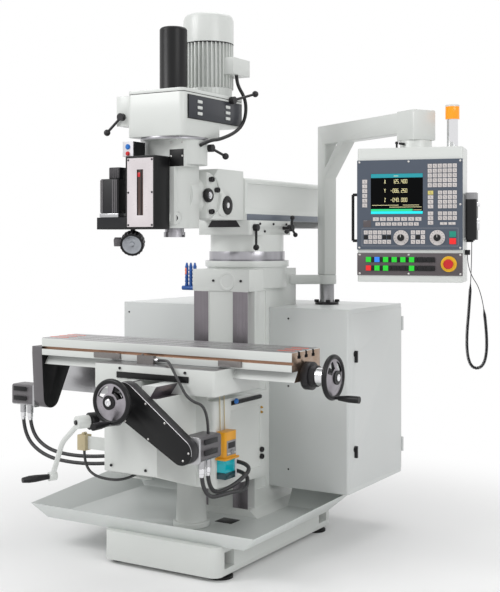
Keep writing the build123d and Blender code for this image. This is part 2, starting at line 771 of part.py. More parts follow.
# Column: a dovetailed front, a square head and a round seat for the turret
with BuildPart() as column:
    with BuildSketch(Plane.XY.offset(BASE_TOP)):
        with BuildLine():
            Polyline((-COLUMN_HALF, COLUMN_BACK), (COLUMN_HALF, COLUMN_BACK), (COLUMN_HALF, WAY_BACK),
                     (WAY_HALF - WAY_LEAN, WAY_BACK), (WAY_HALF, -COLUMN_FACE), (-WAY_HALF, -COLUMN_FACE),
                     (-WAY_HALF + WAY_LEAN, WAY_BACK), (-COLUMN_HALF, WAY_BACK), close=True)
        make_face()
    extrude(amount=COLUMN_HEAD_TOP - BASE_TOP)
    with BuildSketch(Plane.XY.offset(BASE_TOP)):
        with Locations((0, (COLUMN_BACK - COLUMN_FACE) / 2)):
            Rectangle(2 * (COLUMN_HALF + SKIRT_SPREAD), COLUMN_DEPTH)
    with BuildSketch(Plane.XY.offset(BASE_TOP + SKIRT_HEIGHT)):
        with Locations((0, (COLUMN_BACK - COLUMN_FACE) / 2)):
            Rectangle(2 * COLUMN_HALF, COLUMN_DEPTH)
    loft()
    span((-COLUMN_HALF, COLUMN_HALF), (-COLUMN_FACE, COLUMN_BACK), (WAY_TOP, COLUMN_HEAD_TOP))
    span((-CHANNEL_HALF, CHANNEL_HALF), (-COLUMN_FACE - OVERRUN, -COLUMN_FACE + CHANNEL_DEPTH),
         (BASE_TOP + SKIRT_HEIGHT, WAY_TOP), Mode.SUBTRACT)
    for side in (1, -1):
        inner = side * (COLUMN_HALF - RECESS_DEPTH)
        outer = side * (COLUMN_HALF + OVERRUN)
        span((min(inner, outer), max(inner, outer)),
             (WAY_BACK + RECESS_EDGE, WAY_BACK + RECESS_EDGE + RECESS_LENGTH),
             (CABINET_BOTTOM, WAY_TOP), Mode.SUBTRACT)
    rod_z(0, TURRET_Y, (COLUMN_HEAD_TOP - HEAD_DROP, COLUMN_HEAD_TOP + SEAT_NECK), SEAT_RADIUS - SEAT_NECK)
    rod_z(0, TURRET_Y, (COLUMN_HEAD_TOP + SEAT_NECK, SEAT_TOP), SEAT_RADIUS)
write(column, "column")

with BuildPart() as elevating_pedestal:
    rod_z(0, -LIFT_Y, (TRAY_TOP, TRAY_TOP + PEDESTAL_FLANGE_HEIGHT), PEDESTAL_FLANGE)
    with Locations((0, -LIFT_Y, TRAY_TOP + PEDESTAL_HEIGHT / 2)):
        Cone(PEDESTAL_FOOT, PEDESTAL_TOP, PEDESTAL_HEIGHT)
    rod_z(0, -LIFT_Y, (TRAY_TOP - OVERRUN, TRAY_TOP + PEDESTAL_HEIGHT + OVERRUN), LIFT_RADIUS + RUN_GAP,
          Mode.SUBTRACT)
write(elevating_pedestal, "elevating_pedestal")

with BuildPart() as electrical_cabinet:
    span((-CABINET_LEFT, CABINET_RIGHT), (CABINET_FRONT, CABINET_BACK), (CABINET_BOTTOM, CABINET_TOP))
    fillet(electrical_cabinet.edges().filter_by(Axis.Z), CABINET_CORNER)
    span((-COLUMN_HALF - CABINET_NOTCH_FIT, COLUMN_HALF + CABINET_NOTCH_FIT),
         (CABINET_FRONT - OVERRUN, COLUMN_BACK + CABINET_NOTCH_FIT),
         (CABINET_BOTTOM - OVERRUN, CABINET_TOP + OVERRUN), Mode.SUBTRACT)
    span((COLUMN_HALF + CABINET_WALL, CABINET_RIGHT + OVERRUN),
         (CABINET_FRONT + DOOR_MARGIN, CABINET_BACK - DOOR_MARGIN),
         (CABINET_BOTTOM + DOOR_MARGIN, CABINET_TOP - DOOR_MARGIN), Mode.SUBTRACT)
    span((DOOR_FACE - SLIDE_GAP, CABINET_RIGHT + OVERRUN),
         (CABINET_FRONT + DOOR_MARGIN - DOOR_LIP, CABINET_BACK + OVERRUN),
         (CABINET_BOTTOM + DOOR_MARGIN - DOOR_LIP, CABINET_TOP - DOOR_MARGIN + DOOR_LIP), Mode.SUBTRACT)
    for share in HINGE_SHARES:
        low = CABINET_BOTTOM + CABINET_HEIGHT * share + HINGE_LENGTH / 2 + SLIDE_GAP
        rod_z(CABINET_RIGHT, HINGE_Y, (low, low + HINGE_LENGTH), HINGE_RADIUS)
        span((DOOR_FACE - HINGE_LEAF_LENGTH, CABINET_RIGHT),
             (CABINET_BACK + SLIDE_GAP, CABINET_BACK + HINGE_LEAF), (low, low + HINGE_LENGTH))
        span((DOOR_FACE - HINGE_LEAF_LENGTH, DOOR_FACE - HINGE_LEAF),
             (CABINET_BACK - HINGE_LEAF, CABINET_BACK + HINGE_LEAF), (low, low + HINGE_LENGTH))
write(electrical_cabinet, "electrical_cabinet")

DOOR_FRONT = CABINET_FRONT + DOOR_MARGIN - DOOR_LIP + SLIDE_GAP
DOOR_LOW = CABINET_BOTTOM + DOOR_MARGIN - DOOR_LIP + SLIDE_GAP
DOOR_HIGH = CABINET_TOP - DOOR_MARGIN + DOOR_LIP - SLIDE_GAP
with BuildPart() as cabinet_door:
    span((DOOR_FACE, CABINET_RIGHT), (DOOR_FRONT, CABINET_BACK), (DOOR_LOW, DOOR_HIGH))
    fillet(cabinet_door.edges().filter_by(Axis.Z).sort_by(Axis.X)[-2:], DOOR_CORNER)
    for share in HINGE_SHARES:
        middle = CABINET_BOTTOM + CABINET_HEIGHT * share
        hinge_span = (middle - HINGE_LENGTH / 2, middle + HINGE_LENGTH / 2)
        rod_z(CABINET_RIGHT, HINGE_Y, hinge_span, HINGE_RADIUS)
        span((CABINET_RIGHT - DOOR_CORNER - HINGE_LEAF, CABINET_RIGHT - HINGE_LEAF),
             (CABINET_BACK - DOOR_CORNER - HINGE_LEAF, HINGE_Y), hinge_span)
    for share in (LATCH_LOW_SHARE, LATCH_HIGH_SHARE):
        height = CABINET_BOTTOM + CABINET_HEIGHT * share
        rod_x((CABINET_RIGHT, CABINET_RIGHT + LATCH_PROUD), DOOR_FRONT + LATCH_INSET, height, LATCH_RADIUS)
        span((CABINET_RIGHT, CABINET_RIGHT + 2 * LATCH_PROUD),
             (DOOR_FRONT + LATCH_INSET - LATCH_GRIP_WIDTH / 2,
              DOOR_FRONT + LATCH_INSET + LATCH_GRIP_WIDTH / 2),
             (height - LATCH_GRIP, height + LATCH_RADIUS))
write(cabinet_door, "cabinet_door")

with BuildPart() as coolant_nozzles:
    rod_x((-COLUMN_HALF - NOZZLE_FIRST - NOZZLE_PITCH * NOZZLE_COUNT, -COLUMN_HALF), NOZZLE_Y, NOZZLE_Z,
          NOZZLE_BAR)
    for number in range(NOZZLE_COUNT):
        across = -COLUMN_HALF - NOZZLE_FIRST - NOZZLE_PITCH * number
        rod_z(across, NOZZLE_Y, (NOZZLE_Z, NOZZLE_Z + NOZZLE_BEADS * NOZZLE_BEAD + NOZZLE_BAR), NOZZLE_WAIST)
        for bead in range(NOZZLE_BEADS):
            with Locations((across, NOZZLE_Y, NOZZLE_Z + NOZZLE_BAR + (bead + 1 / 2) * NOZZLE_BEAD)):
                Cone(NOZZLE_BEAD_RADIUS, NOZZLE_WAIST, NOZZLE_BEAD)
        tip = NOZZLE_Z + NOZZLE_BAR + NOZZLE_BEADS * NOZZLE_BEAD
        with Locations((across, NOZZLE_Y, tip + NOZZLE_TIP / 2)):
            Cone(NOZZLE_BEAD_RADIUS, NOZZLE_WAIST / 2, NOZZLE_TIP)
write(coolant_nozzles, "coolant_nozzles")

# Pendant bracket and arm
PAD_FACE = SEAT_RADIUS - SEAT_NECK
with BuildPart() as pendant_bracket:
    with BuildSketch(Plane.XY.offset(BOSS_BOTTOM)):
        with Locations((POST_X, POST_Y)):
            Circle(BOSS_RADIUS)
        with BuildLine():
            Polyline((0, BRACKET_PAD_Y - BRACKET_PAD_LENGTH / 2), (POST_X, POST_Y - BRACKET_NECK),
                     (POST_X, POST_Y + BRACKET_NECK), (0, BRACKET_PAD_Y + BRACKET_PAD_LENGTH / 2), close=True)
        make_face()
    extrude(amount=BOSS_HEIGHT)
    rod_z(0, TURRET_Y, (COLUMN_HEAD_TOP - HEAD_DROP, COLUMN_HEAD_TOP + SEAT_NECK), PAD_FACE + SLIDE_GAP,
          Mode.SUBTRACT)
    span((-COLUMN_HALF - SLIDE_GAP, COLUMN_HALF + SLIDE_GAP), (-COLUMN_FACE, COLUMN_BACK + SLIDE_GAP),
         (BOSS_BOTTOM - OVERRUN, BOSS_TOP + OVERRUN), Mode.SUBTRACT)
    rod_z(POST_X, POST_Y, (CABINET_TOP, BOSS_BOTTOM), PIPE_RADIUS)
    rod_z(POST_X, POST_Y, (CABINET_TOP, CABINET_TOP + GROMMET_HEIGHT), GROMMET_RADIUS)
write(pendant_bracket, "pendant_bracket")

with BuildPart() as pendant_arm:
    with BuildSketch(ARM_SIDE):
        with BuildLine():
            Polyline((-ARM_HALF, BOSS_TOP + SLIDE_GAP), (ARM_HALF, BOSS_TOP + SLIDE_GAP),
                     (ARM_HALF, ARM_BOTTOM - GUSSET_LEG), (ARM_HALF + GUSSET_LEG, ARM_BOTTOM),
                     (ARM_REACH - ARM_END_HALF, ARM_BOTTOM), (ARM_REACH - ARM_END_HALF, ARM_END_BOTTOM),
                     (ARM_REACH + ARM_END_HALF, ARM_END_BOTTOM), (ARM_REACH + ARM_END_HALF, ARM_TOP),
                     (-ARM_HALF, ARM_TOP), close=True)
        make_face()
        with BuildLine():
            Polyline((ARM_HALF, ARM_BOTTOM), (ARM_HALF, ARM_BOTTOM - GUSSET_LEG + 2 * GUSSET_BAR),
                     (ARM_HALF + GUSSET_LEG - 2 * GUSSET_BAR, ARM_BOTTOM), close=True)
        make_face(mode=Mode.SUBTRACT)
    extrude(amount=ARM_HALF, both=True)
    with BuildSketch(ARM_SIDE):
        with Locations((ARM_REACH, (ARM_TOP + ARM_END_BOTTOM) / 2)):
            Rectangle(2 * ARM_END_HALF, ARM_TOP - ARM_END_BOTTOM)
    extrude(amount=ARM_END_HALF, both=True)
write(pendant_arm, "pendant_arm")

# Pendant
with BuildPart(PENDANT) as pendant_box:
    span((-PENDANT_LEFT, PENDANT_RIGHT), (-PENDANT_FRONT, PENDANT_DEPTH - PENDANT_FRONT),
         (PENDANT_BOTTOM, PENDANT_TOP))
    fillet(pendant_box.edges().filter_by(Axis.Z), PENDANT_CORNER)
    rod_z(0, 0, (PENDANT_TOP, PENDANT_TOP + SWIVEL_HEIGHT), SWIVEL_RADIUS)
write(pendant_box, "pendant_box")

SCREEN_U = tuple(PENDANT_WIDTH * share - PENDANT_LEFT for share in (SCREEN_LEFT_SHARE, SCREEN_RIGHT_SHARE))
SCREEN_Z = tuple(FACE_BOTTOM + FACE_HEIGHT * share for share in (SCREEN_LOW_SHARE, SCREEN_HIGH_SHARE))
KNOB_Z = FACE_BOTTOM + FACE_HEIGHT * KNOB_Z_SHARE
FEED_U = PENDANT_WIDTH * FEED_KNOB_SHARE - PENDANT_LEFT
SPEED_U = PENDANT_WIDTH * SPEED_KNOB_SHARE - PENDANT_LEFT
STOP_U = PENDANT_WIDTH * STOP_U_SHARE - PENDANT_LEFT
STOP_Z = LOWER_BOTTOM + LOWER_HEIGHT * STOP_Z_SHARE
with BuildPart(PENDANT) as control_faceplate:
    span((-PENDANT_LEFT, PENDANT_RIGHT), (-FACE_FRONT, -PENDANT_FRONT), (FACE_BOTTOM, FACE_TOP))
    span(SCREEN_U, (-FACE_FRONT - OVERRUN, -FACE_FRONT + SCREEN_RECESS), SCREEN_Z, Mode.SUBTRACT)
    for across in (FEED_U, SPEED_U):
        rod_y(across, (-FACE_FRONT - OVERRUN, -PENDANT_FRONT), KNOB_Z, KNOB_SHAFT + RUN_GAP, Mode.SUBTRACT)
write(control_faceplate, "control_faceplate")

with BuildPart(PENDANT) as screen:
    span((SCREEN_U[0] + SLIDE_GAP, SCREEN_U[1] - SLIDE_GAP),
         (-FACE_FRONT + SCREEN_RECESS - SCREEN_THICK, -FACE_FRONT + SCREEN_RECESS),
         (SCREEN_Z[0] + SLIDE_GAP, SCREEN_Z[1] - SLIDE_GAP))
write(screen, "screen")

with BuildPart(PENDANT) as control_keys:
    for left, right, low, high, columns, rows in KEY_BLOCK_SHARES:
        pitch_u = PENDANT_WIDTH * (right - left) / columns
        pitch_z = FACE_HEIGHT * (high - low) / rows
        for number in range(columns * rows):
            across = PENDANT_WIDTH * left - PENDANT_LEFT + (number % columns + 1 / 2) * pitch_u
            height = FACE_BOTTOM + FACE_HEIGHT * low + (number // columns + 1 / 2) * pitch_z
            span((across - pitch_u * KEY_PITCH_SHARE / 2, across + pitch_u * KEY_PITCH_SHARE / 2),
                 (-FACE_FRONT - KEY_PROUD, -FACE_FRONT),
                 (height - pitch_z * KEY_PITCH_SHARE / 2, height + pitch_z * KEY_PITCH_SHARE / 2))
    button_u = PENDANT_WIDTH * (BUTTON_RIGHT_SHARE - BUTTON_LEFT_SHARE) / BUTTON_COLUMNS
    button_z = LOWER_HEIGHT * (BUTTON_HIGH_SHARE - BUTTON_LOW_SHARE) / BUTTON_ROWS
    for number in range(BUTTON_COLUMNS * BUTTON_ROWS):
        column_middle = number % BUTTON_COLUMNS + 1 / 2
        row_middle = number // BUTTON_COLUMNS + 1 / 2
        across = PENDANT_WIDTH * BUTTON_LEFT_SHARE - PENDANT_LEFT + column_middle * button_u
        height = LOWER_BOTTOM + LOWER_HEIGHT * BUTTON_LOW_SHARE + row_middle * button_z
        span((across - button_u * BUTTON_FILL_SHARE / 2, across + button_u * BUTTON_FILL_SHARE / 2),
             (-LOWER_FRONT - BUTTON_PROUD, -LOWER_FRONT),
             (height - button_z * BUTTON_FILL_SHARE / 2, height + button_z * BUTTON_FILL_SHARE / 2))
write(control_keys, "control_keys")

with BuildPart(PENDANT) as operator_panel:
    span((-PENDANT_LEFT, PENDANT_RIGHT), (-LOWER_FRONT, -PENDANT_FRONT),
         (LOWER_BOTTOM, LOWER_BOTTOM + LOWER_HEIGHT))
    rod_y(STOP_U, (-LOWER_FRONT - STOP_COLLAR_HEIGHT, -LOWER_FRONT), STOP_Z, STOP_COLLAR)
    rod_y(STOP_U, (-LOWER_FRONT - STOP_COLLAR_HEIGHT - OVERRUN, -PENDANT_FRONT), STOP_Z, STOP_STEM + RUN_GAP,
          Mode.SUBTRACT)
write(operator_panel, "operator_panel")

with BuildPart(PENDANT) as feed_knob:
    rod_y(FEED_U, (-FACE_FRONT - SLIDE_GAP - KNOB_SKIRT_THICK, -FACE_FRONT - SLIDE_GAP), KNOB_Z, KNOB_SKIRT)
    rod_y(FEED_U, (-FACE_FRONT - SLIDE_GAP - KNOB_HEIGHT, -FACE_FRONT - SLIDE_GAP), KNOB_Z, KNOB_GRIP)
    rod_y(FEED_U, (-FACE_FRONT - SLIDE_GAP, -PENDANT_FRONT - SLIDE_GAP), KNOB_Z, KNOB_SHAFT)
write(feed_knob, "feed_knob")

with BuildPart(PENDANT) as speed_knob:
    rod_y(SPEED_U, (-FACE_FRONT - SLIDE_GAP - KNOB_SKIRT_THICK, -FACE_FRONT - SLIDE_GAP), KNOB_Z, KNOB_SKIRT)
    rod_y(SPEED_U, (-FACE_FRONT - SLIDE_GAP - KNOB_HEIGHT, -FACE_FRONT - SLIDE_GAP), KNOB_Z, KNOB_GRIP)
    rod_y(SPEED_U, (-FACE_FRONT - SLIDE_GAP, -PENDANT_FRONT - SLIDE_GAP), KNOB_Z, KNOB_SHAFT)
write(speed_knob, "speed_knob")

STOP_FACE = LOWER_FRONT + STOP_COLLAR_HEIGHT
with BuildPart(PENDANT) as e_stop_button:
    rod_y(STOP_U, (-STOP_FACE - STOP_TRAVEL, -STOP_FACE + STOP_COLLAR_HEIGHT / 2), STOP_Z, STOP_STEM)
    rod_y(STOP_U, (-STOP_FACE - STOP_TRAVEL - STOP_HEAD_HEIGHT, -STOP_FACE - STOP_TRAVEL), STOP_Z, STOP_HEAD)
    chamfer(e_stop_button.edges().sort_by(Axis.Y)[:1], STOP_HEAD_HEIGHT / 3)
write(e_stop_button, "e_stop_button")

with BuildPart(PENDANT) as beacon:
    rod_z(BEACON_U, 0, (PENDANT_TOP, PENDANT_TOP + BEACON_STEM), BEACON_RADIUS * BEACON_PIPE_SHARE)
    rod_z(BEACON_U, 0, (PENDANT_TOP + BEACON_STEM, PENDANT_TOP + BEACON_STEM + BEACON_LENS), BEACON_RADIUS)
write(beacon, "beacon")

HANDLE_Z = (PENDANT_BOTTOM + HANDLE_LOW, PENDANT_BOTTOM + HANDLE_LOW + HANDLE_LENGTH)
with BuildPart(PENDANT) as pendant_handles:
    for face, away, along in ((-PENDANT_LEFT, -HANDLE_STAND, -HANDLE_V),
                              (PENDANT_RIGHT, HANDLE_STAND, HANDLE_V_RIGHT)):
        rod_z(face + away, along, HANDLE_Z, HANDLE_ROD)
        for height in HANDLE_Z:
            rod_x((min(face, face + away), max(face, face + away)), along, height, HANDLE_ROD)
write(pendant_handles, "pendant_handles")

PULSE_U = (PENDANT_RIGHT, PENDANT_RIGHT + PULSE_HOLDER + PULSE_THICK)
PULSE_V = (-PULSE_FRONT, PULSE_WIDTH - PULSE_FRONT)
PULSE_Z = (PENDANT_BOTTOM + PULSE_LOW, PENDANT_BOTTOM + PULSE_LOW + PULSE_LENGTH)
with BuildPart(PENDANT) as pulse_unit:
    span((PULSE_U[0] + PULSE_HOLDER, PULSE_U[1]), PULSE_V, PULSE_Z)
    fillet(pulse_unit.edges().filter_by(Axis.Z), PULSE_CORNER)
    span((PULSE_U[0], PULSE_U[0] + PULSE_HOLDER), (PULSE_V[0] + PULSE_CORNER, PULSE_V[1] - PULSE_CORNER),
         (PULSE_Z[0] + PULSE_CORNER, PULSE_Z[1] - PULSE_CORNER))
    pulse_mid = (PULSE_V[0] + PULSE_V[1]) / 2
    rod_x((PULSE_U[1], PULSE_U[1] + PULSE_DIAL_THICK), pulse_mid, PULSE_Z[0] + PULSE_LENGTH / 3, PULSE_DIAL)
    for side in (-1, 1):
        rod_x((PULSE_U[1], PULSE_U[1] + PULSE_DIAL_THICK), pulse_mid + side * PULSE_WIDTH / 4,
              PULSE_Z[1] - PULSE_LENGTH / 4, PULSE_KNOB)
    span((PULSE_U[0], PULSE_U[0] + PULSE_CLIP), (PULSE_V[1] - PULSE_CLIP, PULSE_V[1]),
         (PULSE_Z[0] - 3 * PULSE_CLIP, PULSE_Z[0] - 2 * PULSE_CLIP))
write(pulse_unit, "pulse_unit")

P_CORD = [PENDANT.from_local_coords(point) for point in (
    (250, -49, PULSE_Z[0]), (250, -49, 1300), (216, -49, 905), (324, -49, 905), (298, -30, 1230),
    (PULSE_U[0] + PULSE_CLIP / 2, PULSE_V[1] - PULSE_CLIP / 2, 1330),
    (PULSE_U[0] + PULSE_CLIP / 2, PULSE_V[1] - PULSE_CLIP / 2, PULSE_Z[0] - 3 * PULSE_CLIP))]
with BuildPart() as pulse_unit_cord:
    add(cord(P_CORD, PULSE_CORD))
write(pulse_unit_cord, "pulse_unit_cord")

# Knee: a wide block on the column and a narrow nose, hollow below and dovetailed on top
KNEE_BACK = COLUMN_FACE + KNEE_BACK_GAP
KNEE_SHOULDER = KNEE_TOP - KNEE_WAY_DROP
JAW_BACK = KNEE_JAW - KNEE_BACK
JAW_LEAN = KNEE_JAW / tan(radians(DOVETAIL_ANGLE))
JAW_IN = WAY_HALF + FLANK_GAP + KNEE_BACK_GAP
with BuildPart() as knee:
    with BuildSketch(SIDE):
        with BuildLine():
            Polyline((-KNEE_WIDE_FRONT, KNEE_BOTTOM_STEP), (-KNEE_BACK, KNEE_BOTTOM_BACK),
                     (-KNEE_BACK, KNEE_SHOULDER), (-KNEE_WIDE_FRONT, KNEE_SHOULDER), close=True)
        make_face()
    extrude(amount=KNEE_HALF, both=True)
    fillet(knee.edges().filter_by(Axis.Z).sort_by(Axis.Y)[:2], KNEE_CORNER)
    with BuildSketch(SIDE):
        with BuildLine():
            Polyline((-KNEE_FRONT, KNEE_BOTTOM_FRONT), (-KNEE_WIDE_FRONT, KNEE_BOTTOM_STEP),
                     (-KNEE_BACK, KNEE_BOTTOM_BACK), (-KNEE_BACK, KNEE_TOP), (-KNEE_FRONT, KNEE_TOP),
                     close=True)
        make_face()
    extrude(amount=NOSE_HALF, both=True)
    span((-KNEE_WAY_HALF, KNEE_WAY_HALF), (-KNEE_WIDE_FRONT, -KNEE_BACK), (KNEE_SHOULDER, KNEE_TOP))
    with BuildSketch(Plane.XY.offset(KNEE_BOTTOM_BACK)):
        for side in (1, -1):
            with BuildLine():
                Polyline((side * KNEE_HALF, -KNEE_BACK), (side * KNEE_HALF, JAW_BACK),
                         (side * (JAW_IN - JAW_LEAN), JAW_BACK), (side * JAW_IN, -KNEE_BACK), close=True)
            make_face()
    extrude(amount=KNEE_SHOULDER - KNEE_BOTTOM_BACK)
    with BuildSketch(FRONT.offset(KNEE_BACK)):
        with BuildLine():
            Polyline((-KNEE_DOVETAIL_HALF + KNEE_LEAN, KNEE_TOP), (KNEE_DOVETAIL_HALF - KNEE_LEAN, KNEE_TOP),
                     (KNEE_DOVETAIL_HALF, KNEE_RAIL_TOP), (-KNEE_DOVETAIL_HALF, KNEE_RAIL_TOP), close=True)
        make_face()
    extrude(amount=KNEE_FRONT - KNEE_BACK)
    span((-TROUGH_HALF, TROUGH_HALF), (-KNEE_FRONT - OVERRUN, -KNEE_BACK - KNEE_WALL),
         (KNEE_RAIL_TOP - TROUGH_DEPTH, KNEE_RAIL_TOP + OVERRUN), Mode.SUBTRACT)
    with Locations(CRANK * Location((0, 0, -CRANK_BOSS_START - CRANK_BOSS_LENGTH / 2))):
        Cylinder(CRANK_BOSS, CRANK_BOSS_LENGTH)
    span((-KNEE_HALF + KNEE_WALL, KNEE_HALF - KNEE_WALL),
         (-KNEE_WIDE_FRONT + KNEE_WALL, -KNEE_BACK - KNEE_WALL),
         (BASE_TOP, KNEE_CEILING), Mode.SUBTRACT)
    span((-NOSE_HALF + KNEE_WALL, NOSE_HALF - KNEE_WALL), (-KNEE_FRONT + KNEE_WALL, -KNEE_BACK - KNEE_WALL),
         (BASE_TOP, KNEE_CEILING), Mode.SUBTRACT)
    with Locations(CRANK * Location((0, 0, -CRANK_BOSS_START - CRANK_BOSS / 2))):
        Cylinder(CRANK_SHAFT + RUN_GAP, CRANK_BOSS + OVERRUN, mode=Mode.SUBTRACT)
    for side in (1, -1):
        inner = side * (KNEE_HALF - PANEL_DEPTH)
        outer = side * (KNEE_HALF + OVERRUN)
        span((min(inner, outer), max(inner, outer)),
             (-PUMP_FRONT + PUMP_DEPTH + PANEL_BORDER, -KNEE_BACK - PANEL_BORDER),
             (KNEE_BOTTOM_STEP + PANEL_BORDER, KNEE_CEILING), Mode.SUBTRACT)
    span((KNEE_HALF, KNEE_HALF + RAIL_PROUD),
         (-KNEE_BACK - PANEL_BORDER - RAIL_LENGTH, -KNEE_BACK - PANEL_BORDER),
         (RAIL_Z - RAIL_HEIGHT, RAIL_Z))
write(knee, "knee")

with BuildPart() as elevating_screw:
    rod_z(0, -LIFT_Y, (KNEE_CEILING - SLIDE_GAP - LIFT_LENGTH, KNEE_CEILING - SLIDE_GAP), LIFT_RADIUS)
write(elevating_screw, "elevating_screw")

with BuildPart() as y_belt_cover:
    with BuildSketch(FRONT.offset(KNEE_FRONT)):
        with Locations((0, Y_SCREW_Z)):
            Circle(Y_COVER_ROUND)
        with Locations((Y_MOTOR_X, Y_MOTOR_Z)):
            Circle(Y_COVER_LOW_ROUND)
        make_hull()
    extrude(amount=Y_COVER_THICK)
    rod_y(0, (-Y_COVER_FRONT - OVERRUN, -KNEE_FRONT + OVERRUN), Y_SCREW_Z, SCREW_RADIUS + RUN_GAP,
          Mode.SUBTRACT)
write(y_belt_cover, "y_belt_cover")

with BuildPart() as y_servo:
    with BuildSketch(FRONT.offset(KNEE_FRONT)):
        with Locations((Y_MOTOR_X, Y_MOTOR_Z)):
            RectangleRounded(SERVO_FLANGE, SERVO_FLANGE, SERVO_CORNER)
    extrude(amount=-SERVO_FLANGE_THICK)
    with BuildSketch(FRONT.offset(KNEE_FRONT - SERVO_FLANGE_THICK)):
        with Locations((Y_MOTOR_X, Y_MOTOR_Z)):
            RectangleRounded(SERVO_SIDE, SERVO_SIDE, SERVO_CORNER)
    extrude(amount=SERVO_FLANGE_THICK - Y_SERVO_LENGTH)
    for number in range(2):
        rod_z(Y_MOTOR_X, -KNEE_FRONT + Y_SERVO_LENGTH - PLUG_INSET - number * PLUG_PITCH,
              (Y_MOTOR_Z - SERVO_SIDE / 2 - PLUG_DROP, Y_MOTOR_Z), PLUG_RADIUS)
write(y_servo, "y_servo")

PUMP_X = KNEE_HALF + SLIDE_GAP
PUMP_MID = (PUMP_DEPTH - RESERVOIR_DEPTH) / 2
with BuildPart() as lube_unit:
    span((PUMP_X, PUMP_X + PUMP_THICK), (-PUMP_FRONT, -PUMP_FRONT + PUMP_DEPTH),
         (PUMP_LOW, PUMP_LOW + PUMP_HEIGHT))
    fillet(lube_unit.edges().filter_by(Axis.Z), SERVO_CORNER)
    span((PUMP_X, PUMP_X + RESERVOIR_THICK),
         (-PUMP_FRONT + PUMP_MID, -PUMP_FRONT + PUMP_MID + RESERVOIR_DEPTH),
         (PUMP_LOW - RESERVOIR_HEIGHT, PUMP_LOW))
    rod_x((PUMP_X + PUMP_THICK, PUMP_X + PUMP_THICK + GAUGE_HEIGHT), -PUMP_FRONT + PUMP_DEPTH / 2,
          PUMP_LOW + PUMP_HEIGHT / 4, GAUGE_RADIUS)
write(lube_unit, "lube_unit")

with BuildPart() as knee_limit_switch:
    span((-KNEE_SWITCH_X - KNEE_SWITCH_SIDE / 2, -KNEE_SWITCH_X + KNEE_SWITCH_SIDE / 2),
         (-KNEE_SWITCH_Y - KNEE_SWITCH_SIDE / 2, -KNEE_SWITCH_Y + KNEE_SWITCH_SIDE / 2),
         (KNEE_SWITCH_LOW, KNEE_SWITCH_LOW + KNEE_SWITCH_HEIGHT))
    span((-KNEE_SWITCH_X, -NOSE_HALF - SLIDE_GAP),
         (-KNEE_SWITCH_Y - KNEE_SWITCH_PLATE / 2, -KNEE_SWITCH_Y + KNEE_SWITCH_PLATE / 2),
         (KNEE_SWITCH_LOW + KNEE_SWITCH_PLATE, KNEE_SWITCH_LOW + KNEE_SWITCH_HEIGHT - KNEE_SWITCH_PLATE))
    rod_y(-KNEE_SWITCH_X, (-KNEE_SWITCH_Y - KNEE_SWITCH_SIDE / 4, -KNEE_SWITCH_Y + KNEE_SWITCH_SIDE / 4),
          KNEE_SWITCH_LOW + KNEE_SWITCH_HEIGHT + KNEE_SWITCH_ROLLER / 2, KNEE_SWITCH_ROLLER)
write(knee_limit_switch, "knee_limit_switch")

PLUG_END = Y_MOTOR_Z - SERVO_SIDE / 2 - PLUG_DROP
PLUG_REAR = -KNEE_FRONT + Y_SERVO_LENGTH - PLUG_INSET
PLUG_FRONT = PLUG_REAR - PLUG_PITCH
Y_CORD_ONE = ((Y_MOTOR_X, PLUG_FRONT, PLUG_END), (Y_MOTOR_X, PLUG_FRONT, 375), (375, -520, 400),
              (378, -410, 385), (335, -330, 445), (KNEE_HALF, -330, 445))
Y_CORD_TWO = ((Y_MOTOR_X, PLUG_REAR, PLUG_END), (Y_MOTOR_X, PLUG_REAR, 385), (352, -470, 410),
              (378, -330, 485), (KNEE_HALF, -330, 485))
KNEE_SWITCH_CORD = ((-KNEE_SWITCH_X, -KNEE_SWITCH_Y, KNEE_SWITCH_LOW), (-KNEE_SWITCH_X, -KNEE_SWITCH_Y, 475),
                    (-205, -705, 425), (-60, -680, 425), (45, -630, 515), (NOSE_HALF - KNEE_WALL, -630, 515))
with BuildPart() as knee_conduits:
    add(cord(Y_CORD_ONE, CONDUIT))
    add(cord(Y_CORD_TWO, CONDUIT))
    add(cord(KNEE_SWITCH_CORD, SWITCH_CORD))
write(knee_conduits, "knee_conduits")

# Crank
with BuildPart(CRANK) as knee_crank:
    with Locations((0, 0, (CRANK_HUB_FRONT - CRANK_HUB_BACK) / 2)):
        Cylinder(CRANK_HUB, CRANK_HUB_FRONT + CRANK_HUB_BACK)
    with Locations((0, 0, -CRANK_BOSS_START + SLIDE_GAP + CRANK_DIAL_LENGTH / 2)):
        Cylinder(CRANK_DIAL, CRANK_DIAL_LENGTH)
    with Locations((0, 0, -(CRANK_BOSS_START + CRANK_BOSS) / 2)):
        Cylinder(CRANK_SHAFT, CRANK_BOSS_START + CRANK_BOSS)
    with BuildLine(CRANK) as crank_route:
        FilletPolyline((0, 0, 0),
                       (-CRANK_OUT * CRANK_MID_OUT_SHARE, -CRANK_DOWN * CRANK_MID_DOWN_SHARE, CRANK_DISH),
                       (-CRANK_OUT, -CRANK_DOWN, CRANK_DISH), radius=CRANK_BEND)
    with BuildSketch(Plane(crank_route.line @ 0, z_dir=crank_route.line % 0)):
        Circle(CRANK_ROD)
    sweep()
    with Locations((-CRANK_OUT, -CRANK_DOWN, CRANK_DISH)):
        Cylinder(CRANK_EYE, CRANK_EYE_LENGTH)
    with Locations((-CRANK_OUT, -CRANK_DOWN, CRANK_DISH)):
        Cylinder(CRANK_PIN + RUN_GAP, CRANK_EYE_LENGTH + OVERRUN, mode=Mode.SUBTRACT)
write(knee_crank, "knee_crank")

